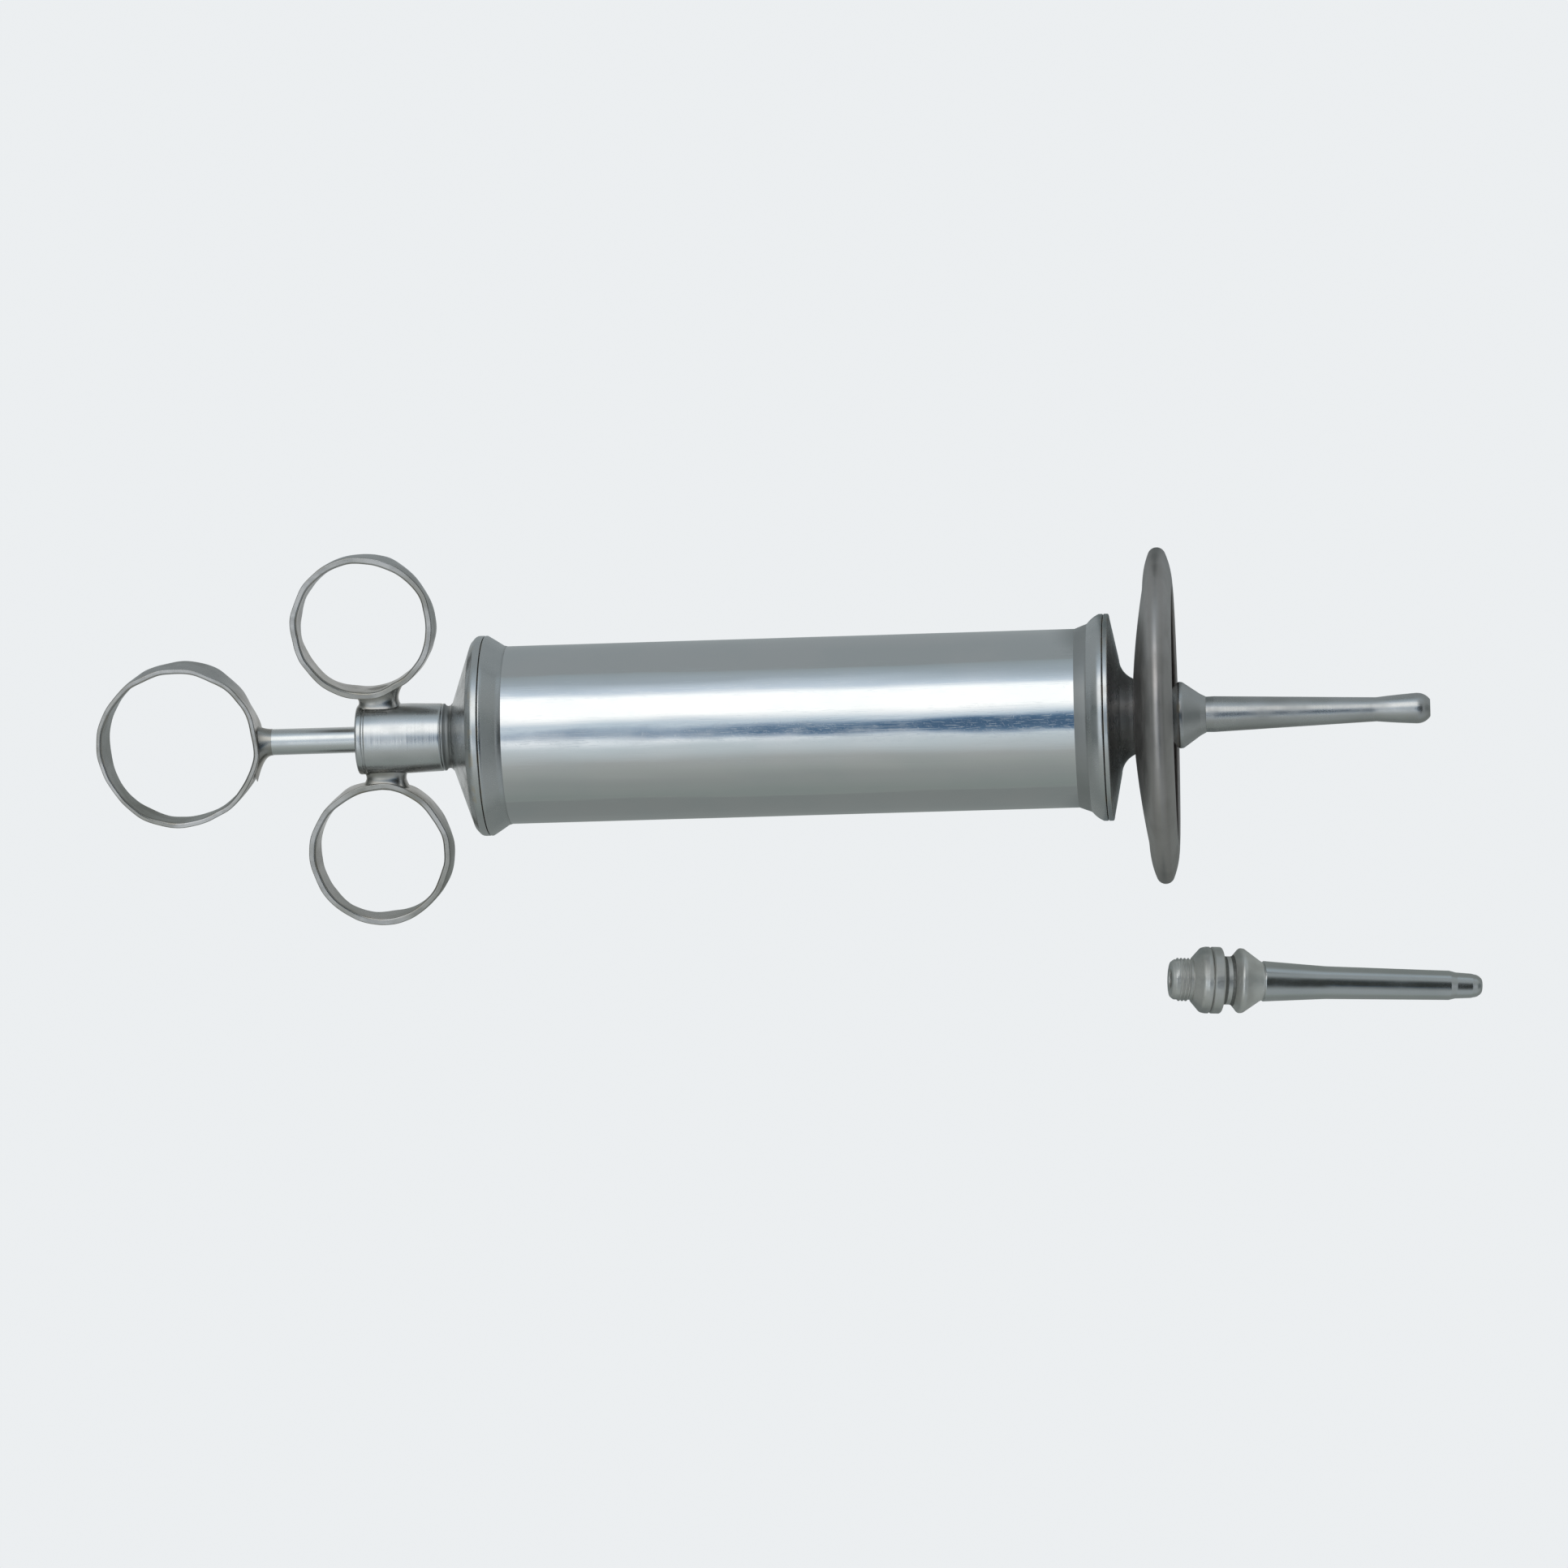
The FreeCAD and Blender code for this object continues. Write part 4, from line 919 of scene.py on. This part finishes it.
ring_side = thumb_middle[0] + thumb_bore + thumb_wall
rows = []
for k in range(15):
    share = k / 14
    swell = (1 - share) ** 2.3
    rows.append((ring_side - ferrule_sink + (ferrule_length + ferrule_sink) * share,
                 -web_shift * swell, rod_radius + solder_cover + (web_half - rod_radius) * swell,
                 rod_radius + solder_cover + (web_thick - rod_radius) * swell, 2.0))
ferrule = lofted("thumb_ring_solder", rows, ring_plate, syringe_lay)
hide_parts("thumb_ring_ferrule")
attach(ferrule, "plunger")

# ------------------------------------------------------------------------------------------------
# Piston.
# Two cup leathers back to back, held by brass discs, a spacer, a lock washer and a nut on the end
# of the rod.  It never leaves the barrel, so these parts keep their plain turned shapes.
# ------------------------------------------------------------------------------------------------
spring_steel = metal("spring_steel", (0.40, 0.40, 0.41, 1.0), (0.30, 0.29, 0.29, 1.0), None,
                     Polish=0.30, Wipe_marks=0.3, Turning_marks=0.6, Turning_pitch=0.3, Smudges=0.2)
for node in ("piston_shoulder", "piston_rear_disc", "piston_spacer", "piston_front_disc", "piston_nut"):
    finish_node(node, bare_brass)
for node in ("piston_rear_cup", "piston_front_cup"):
    finish_node(node, leather)
finish_node("piston_lock_washer", spring_steel)

# ------------------------------------------------------------------------------------------------
# Front cap and nozzle washer.
# The front cap screws into the front collar.  Its face is almost flat and then sweeps in to a
# hollow neck, whose socket takes the nozzle; a leather washer lies at the socket's bottom.
# ------------------------------------------------------------------------------------------------
front_rim_rounding, front_rim_land = 0.5, 0.1
face_rise, face_inner = 1.7, 11.0
neck_radius, neck_reach = 7.3, 4.9
neck_hollow_place, neck_hollow_rise = 1.04, 1.11
seat_small_radius, seat_large_radius, seat_depth = 4.4, 6.5, 2.35
socket_radius = 4.24

cap_start, cap_end, passage_radius, cap_radius = span("front_cap")
front_seam = cap_end - neck_reach
rim_radius = cap_radius - front_rim_rounding
rim_end = front_seam + front_rim_land + front_rim_rounding
face_end = rim_end + face_rise
washer_start = span("nozzle_washer")[0]
seat_start = cap_end - seat_depth
front_cap = turned("front_cap_neck", [
    (cap_start, passage_radius), (cap_start, thread_radius - cap_thread_depth - thread_wall + 0.55, 0.2),
    (cap_start, thread_radius - cap_thread_depth, 0.2), (front_seam, thread_radius - cap_thread_depth),
    (front_seam, cap_radius - gasket_cover), (front_seam - gasket_lip, cap_radius - gasket_cover, 0.05),
    (front_seam - gasket_lip, cap_radius, 0.12), (rim_end - 0.02, cap_radius, front_rim_rounding),
    (rim_end + 0.05, rim_radius - 0.05),
    *bow((face_end, face_inner), (face_end + neck_hollow_place, neck_radius + neck_hollow_rise),
         (cap_end - 0.1, neck_radius), 11),
    (cap_end, neck_radius - 0.1), (cap_end, seat_large_radius - 0.3), (seat_start, seat_small_radius),
    (seat_start, socket_radius), (washer_start, socket_radius), (washer_start, passage_radius)],
    turned_plate, around=192, longest=1.5, seed=6.0)
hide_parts("front_cap")
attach(front_cap, "front_cap")
front_thread = thread("front_cap_thread", front_seam - thread_length + 0.3, thread_radius, cap_thread_depth,
                      cap_thread_pitch, cap_turns, turned_plate)
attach(front_thread, "front_cap")
finish_node("nozzle_washer", leather)

# ------------------------------------------------------------------------------------------------
# Splash shield.
# A shallow dish spun from sheet brass, with its edge folded over towards the front, and a coned hub
# that the nozzle's flange clamps on the cap.  Its plate has gone dull and grey, with spinning marks.
# ------------------------------------------------------------------------------------------------
shield_sheet, shield_rim, shield_rim_angle = 0.7, 1.7, 25
fold_reach, fold_half, fold_middle, fold_middle_half = 7.0, 2.75, 3.3, 2.3
shield_flat, shield_bulge = 7.2, 0.25

dull_plate = metal("dull_plate", (0.490, 0.462, 0.448, 1.0), (0.410, 0.385, 0.370, 1.0),
                   (0.56, 0.54, 0.50, 1.0),
                   Polish=0.36, Wipe_marks=0.2, Turning_marks=0.4, Turning_pitch=0.2,
                   Smudges=0.12, Pores=1.2, Pore_size=0.35, Dents=1.5)

hub_start, shield_end, hub_radius, shield_radius = span("splash_shield")
shield_back = front_seam + neck_reach + 0.05
shield_front = shield_back + shield_sheet
rim_x, rim_r = shield_end - fold_half, shield_radius - shield_rim
lip_r, fold_r = shield_radius - fold_reach, shield_radius - fold_middle
inner_rim, inner_half = shield_rim - shield_sheet, fold_half - shield_sheet
inner_middle_half = fold_middle_half - shield_sheet


def circle_part(centre_x, centre_r, radius, first, last, count):
    """Points of an arc, in degrees from +X towards +r, as corners of an outline."""
    angles = [math.radians(first + (last - first) * k / (count - 1)) for k in range(count)]
    return [(centre_x + radius * math.cos(a), centre_r + radius * math.sin(a)) for a in angles]


back_rim = circle_part(rim_x, rim_r, shield_rim, shield_rim_angle, 180 - shield_rim_angle, 17)
hollow_rim = circle_part(rim_x, rim_r, inner_rim, 180 - shield_rim_angle, shield_rim_angle, 13)
bowl_r = (shield_flat + lip_r) / 2
bowl_x = (shield_back + rim_x - fold_half) / 2 - shield_bulge
shield = turned("splash_shield_dish", [
    (hub_start + 0.75, hub_radius), (shield_front, seat_large_radius, 0.3),
    *bow((shield_front, shield_flat), (bowl_x + shield_sheet, bowl_r),
         (rim_x - inner_half, lip_r), 15)[:-1],
    *bow((rim_x - inner_half, lip_r), (rim_x - inner_middle_half, fold_r), hollow_rim[0], 9)[:-1],
    *hollow_rim,
    *bow(hollow_rim[-1], (rim_x + inner_middle_half, fold_r), (rim_x + inner_half, lip_r), 9)[1:-1],
    *circle_part(rim_x + inner_half + shield_sheet / 2, lip_r, shield_sheet / 2, 180, 360, 7),
    *bow((rim_x + fold_half, lip_r), (rim_x + fold_middle_half, fold_r), back_rim[0], 9)[1:-1],
    *back_rim,
    *bow(back_rim[-1], (rim_x - fold_middle_half, fold_r), (rim_x - fold_half, lip_r), 9)[1:-1],
    *bow((rim_x - fold_half, lip_r), (bowl_x, bowl_r), (shield_back, shield_flat), 15),
    (hub_start, hub_radius, 0.1)], dull_plate, around=256, longest=2.0, uneven=0.0012, seed=7.0)
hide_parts("splash_shield")
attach(shield, "splash_shield")

# ------------------------------------------------------------------------------------------------
# Nozzles: the fitted one and the spare.
# Each has a turned base, with a threaded plug, a seat cone, a flange, a groove and a bead, and a
# drawn tube soldered into it.  The spare's base was cast and is duller, and its plug still shows
# its thread.
# ------------------------------------------------------------------------------------------------
plug_radius, plug_length, plug_tip_radius, plug_tip_length = 4.2, 4.2, 3.4, 1.0
seat_length, flange_radius, flange_length, flange_edge = 1.6, 6.5, 4.1, 0.45
groove_radius, groove_length = 4.6, 2.4
bead_radius, bead_rise, bead_length, bead_end_radius = 6.37, 1.5, 5.9, 3.7
base_bore, tube_socket, tube_socket_length = 1.9, 3.0, 5.2
plug_thread_pitch, plug_thread_depth = 0.7, 0.28
tube_root, outlet = 3.5, 1.25
bore_taper = 28.0

cast_plate = metal("cast_plate", (0.960, 0.950, 0.925, 1.0), (0.680, 0.668, 0.640, 1.0),
                   (0.95, 0.93, 0.88, 1.0),
                   Polish=0.34, Wipe_marks=0.2, Turning_marks=0.9, Turning_pitch=0.6,
                   Smudges=0.25, Pores=4.0, Pore_size=0.9, Dents=5.0)
nozzle_plate = metal("nozzle_plate", (0.560, 0.562, 0.562, 1.0), (0.480, 0.478, 0.470, 1.0), worn_brass,
                     Polish=0.27, Wipe_marks=0.1, Turning_marks=0.5, Turning_pitch=0.5,
                     Smudges=0.15, Dents=5.0)
spare_tube_plate = metal("spare_tube_plate", (0.640, 0.650, 0.650, 1.0), (0.590, 0.605, 0.605, 1.0), None,
                         Polish=0.17, Wipe_marks=0.08, Turning_marks=0.15, Smudges=0.06, Dents=2.0)


def nozzle_base(name, start, finish, lay, seed, scribed=0.0):
    """Turned base of a nozzle, in millimetres, with a line scribed round its flange to some depth; the
    line is also darkened with painted shade in step with its depth.
    """
    cone = start + plug_length
    flange = cone + seat_length
    groove = flange + flange_length
    bead = groove + groove_length
    end = bead + bead_length
    core = plug_radius - plug_thread_depth
    line = flange + flange_length * 0.48
    return turned(name, [
        (start, base_bore, 0.2), (start, plug_tip_radius, 0.3), (start + plug_tip_length * 0.7, core, 0.3),
        (cone, core), (cone, seat_small_radius), (flange + 0.1, flange_radius - 0.2, 0.9),
        (flange + 1.0, flange_radius, 0.8), (line - 0.3, flange_radius, 0.1),
        (line, flange_radius - scribed, 0.0, -2 * scribed), (line + 0.3, flange_radius, 0.1),
        (groove, flange_radius, flange_edge), (groove + 0.35, groove_radius + 0.1, 0.7),
        (bead - 0.25, groove_radius + 0.1, 0.8), (bead + bead_rise - 0.35, bead_radius, 0.8),
        (bead + bead_rise + 0.5, bead_radius - 0.1, 0.9), (end - 0.6, bead_end_radius + 0.25, 1.6),
        (end + 0.5, bead_end_radius - 0.3, 0.2), (end + 0.5, tube_socket - 0.02),
        (end - tube_socket_length, tube_socket), (end - tube_socket_length, base_bore)],
        finish, lay, around=96, longest=0.8, uneven=0.004, seed=seed)


base_start, base_end, _, _ = span("nozzle_base")
base = nozzle_base("nozzle_base_turning", base_start, nozzle_plate, syringe_lay, 8.0)
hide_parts("nozzle_base")
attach(base, "nozzle")
plug_turns = (plug_length - plug_tip_length) / plug_thread_pitch - 1
plug_thread = thread("nozzle_plug_thread", base_start + plug_tip_length * 0.8, plug_radius,
                     plug_thread_depth, plug_thread_pitch, plug_turns, nozzle_plate)
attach(plug_thread, "nozzle")

# places along the tube count from the base's end, and the thicknesses are radii
neck_at, neck_thick = 27.7, 2.47
waist_at, waist_thick = 32.7, 2.29
swell_at, swell_thick = 36.88, 2.67
bulb_at, bulb_thick = 40.3, 2.9
tip_at, tip_thick = 41.75, 2.60
tip = span("nozzle_tube")[1]
tube = turned("nozzle_tube_drawn", [
    (base_end - tube_socket_length, base_bore), (base_end - tube_socket_length, tube_socket - 0.05),
    (base_end, tube_socket - 0.05), (base_end, tube_root - 0.15), (base_end + 2.0, tube_root - 0.10, 4.0),
    (base_end + neck_at, neck_thick, 8.0),
    *bow((base_end + waist_at, waist_thick), (base_end + swell_at, swell_thick),
         (base_end + bulb_at, bulb_thick), 13),
    *bow((base_end + bulb_at + 0.3, bulb_thick - 0.01), (base_end + tip_at, tip_thick),
         (tip, outlet + 0.35), 9),
    (tip - 0.1, outlet, 0.15), (base_end + bore_taper, outlet)],
    nozzle_plate, around=88, longest=0.9, uneven=0.006, seed=9.0)
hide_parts("nozzle_tube")
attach(tube, "nozzle")

spare_mount = mounts["spare_nozzle_plug"]
spare_back = Vector(spare_mount["axis"])
mount_along = (plug_tip_length + plug_length) / 2
spare_lay = lying(Vector(spare_mount["pos_m"]) + spare_back * mount_along / 1000, -spare_back)
spare_base_end = span("spare_nozzle_base", spare_lay)[1]
spare_base = nozzle_base("spare_base_casting", 0.0, cast_plate, spare_lay, 10.0, 0.35)
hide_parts("spare_nozzle_base")
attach(spare_base, "spare_nozzle")
spare_thread = thread("spare_plug_thread", plug_tip_length * 0.8, plug_radius, plug_thread_depth,
                      plug_thread_pitch, plug_turns, cast_plate, spare_lay)
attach(spare_thread, "spare_nozzle")

# the spare's tube tapers, and has a step down to its short tip: place, radius and rounding
spare_tapers = ((12.5, 3.2, 30.0), (37.0, 2.87, 0.6), (38.3, 2.55, 0.8), (41.4, 2.38, 1.5))
spare_nose, spare_nose_middle = (41.9, 2.25), (43.05, 1.8)
spare_root = 3.95
spare_tip = span("spare_nozzle_tube", spare_lay)[1]
spare_tube = turned("spare_tube_drawn", [
    (spare_base_end - tube_socket_length, base_bore),
    (spare_base_end - tube_socket_length, tube_socket - 0.05),
    (spare_base_end, tube_socket - 0.05), (spare_base_end, spare_root, 0.2),
    *[(spare_base_end + along, radius, rounding) for along, radius, rounding in spare_tapers],
    *bow((spare_base_end + spare_nose[0], spare_nose[1]),
         (spare_base_end + spare_nose_middle[0], spare_nose_middle[1]), (spare_tip, outlet + 0.12), 7),
    (spare_tip - 0.2, outlet), (spare_base_end + bore_taper, outlet)],
    spare_tube_plate, spare_lay, around=88, longest=0.9, uneven=0.005, seed=11.0)
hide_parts("spare_nozzle_tube")
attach(spare_tube, "spare_nozzle")
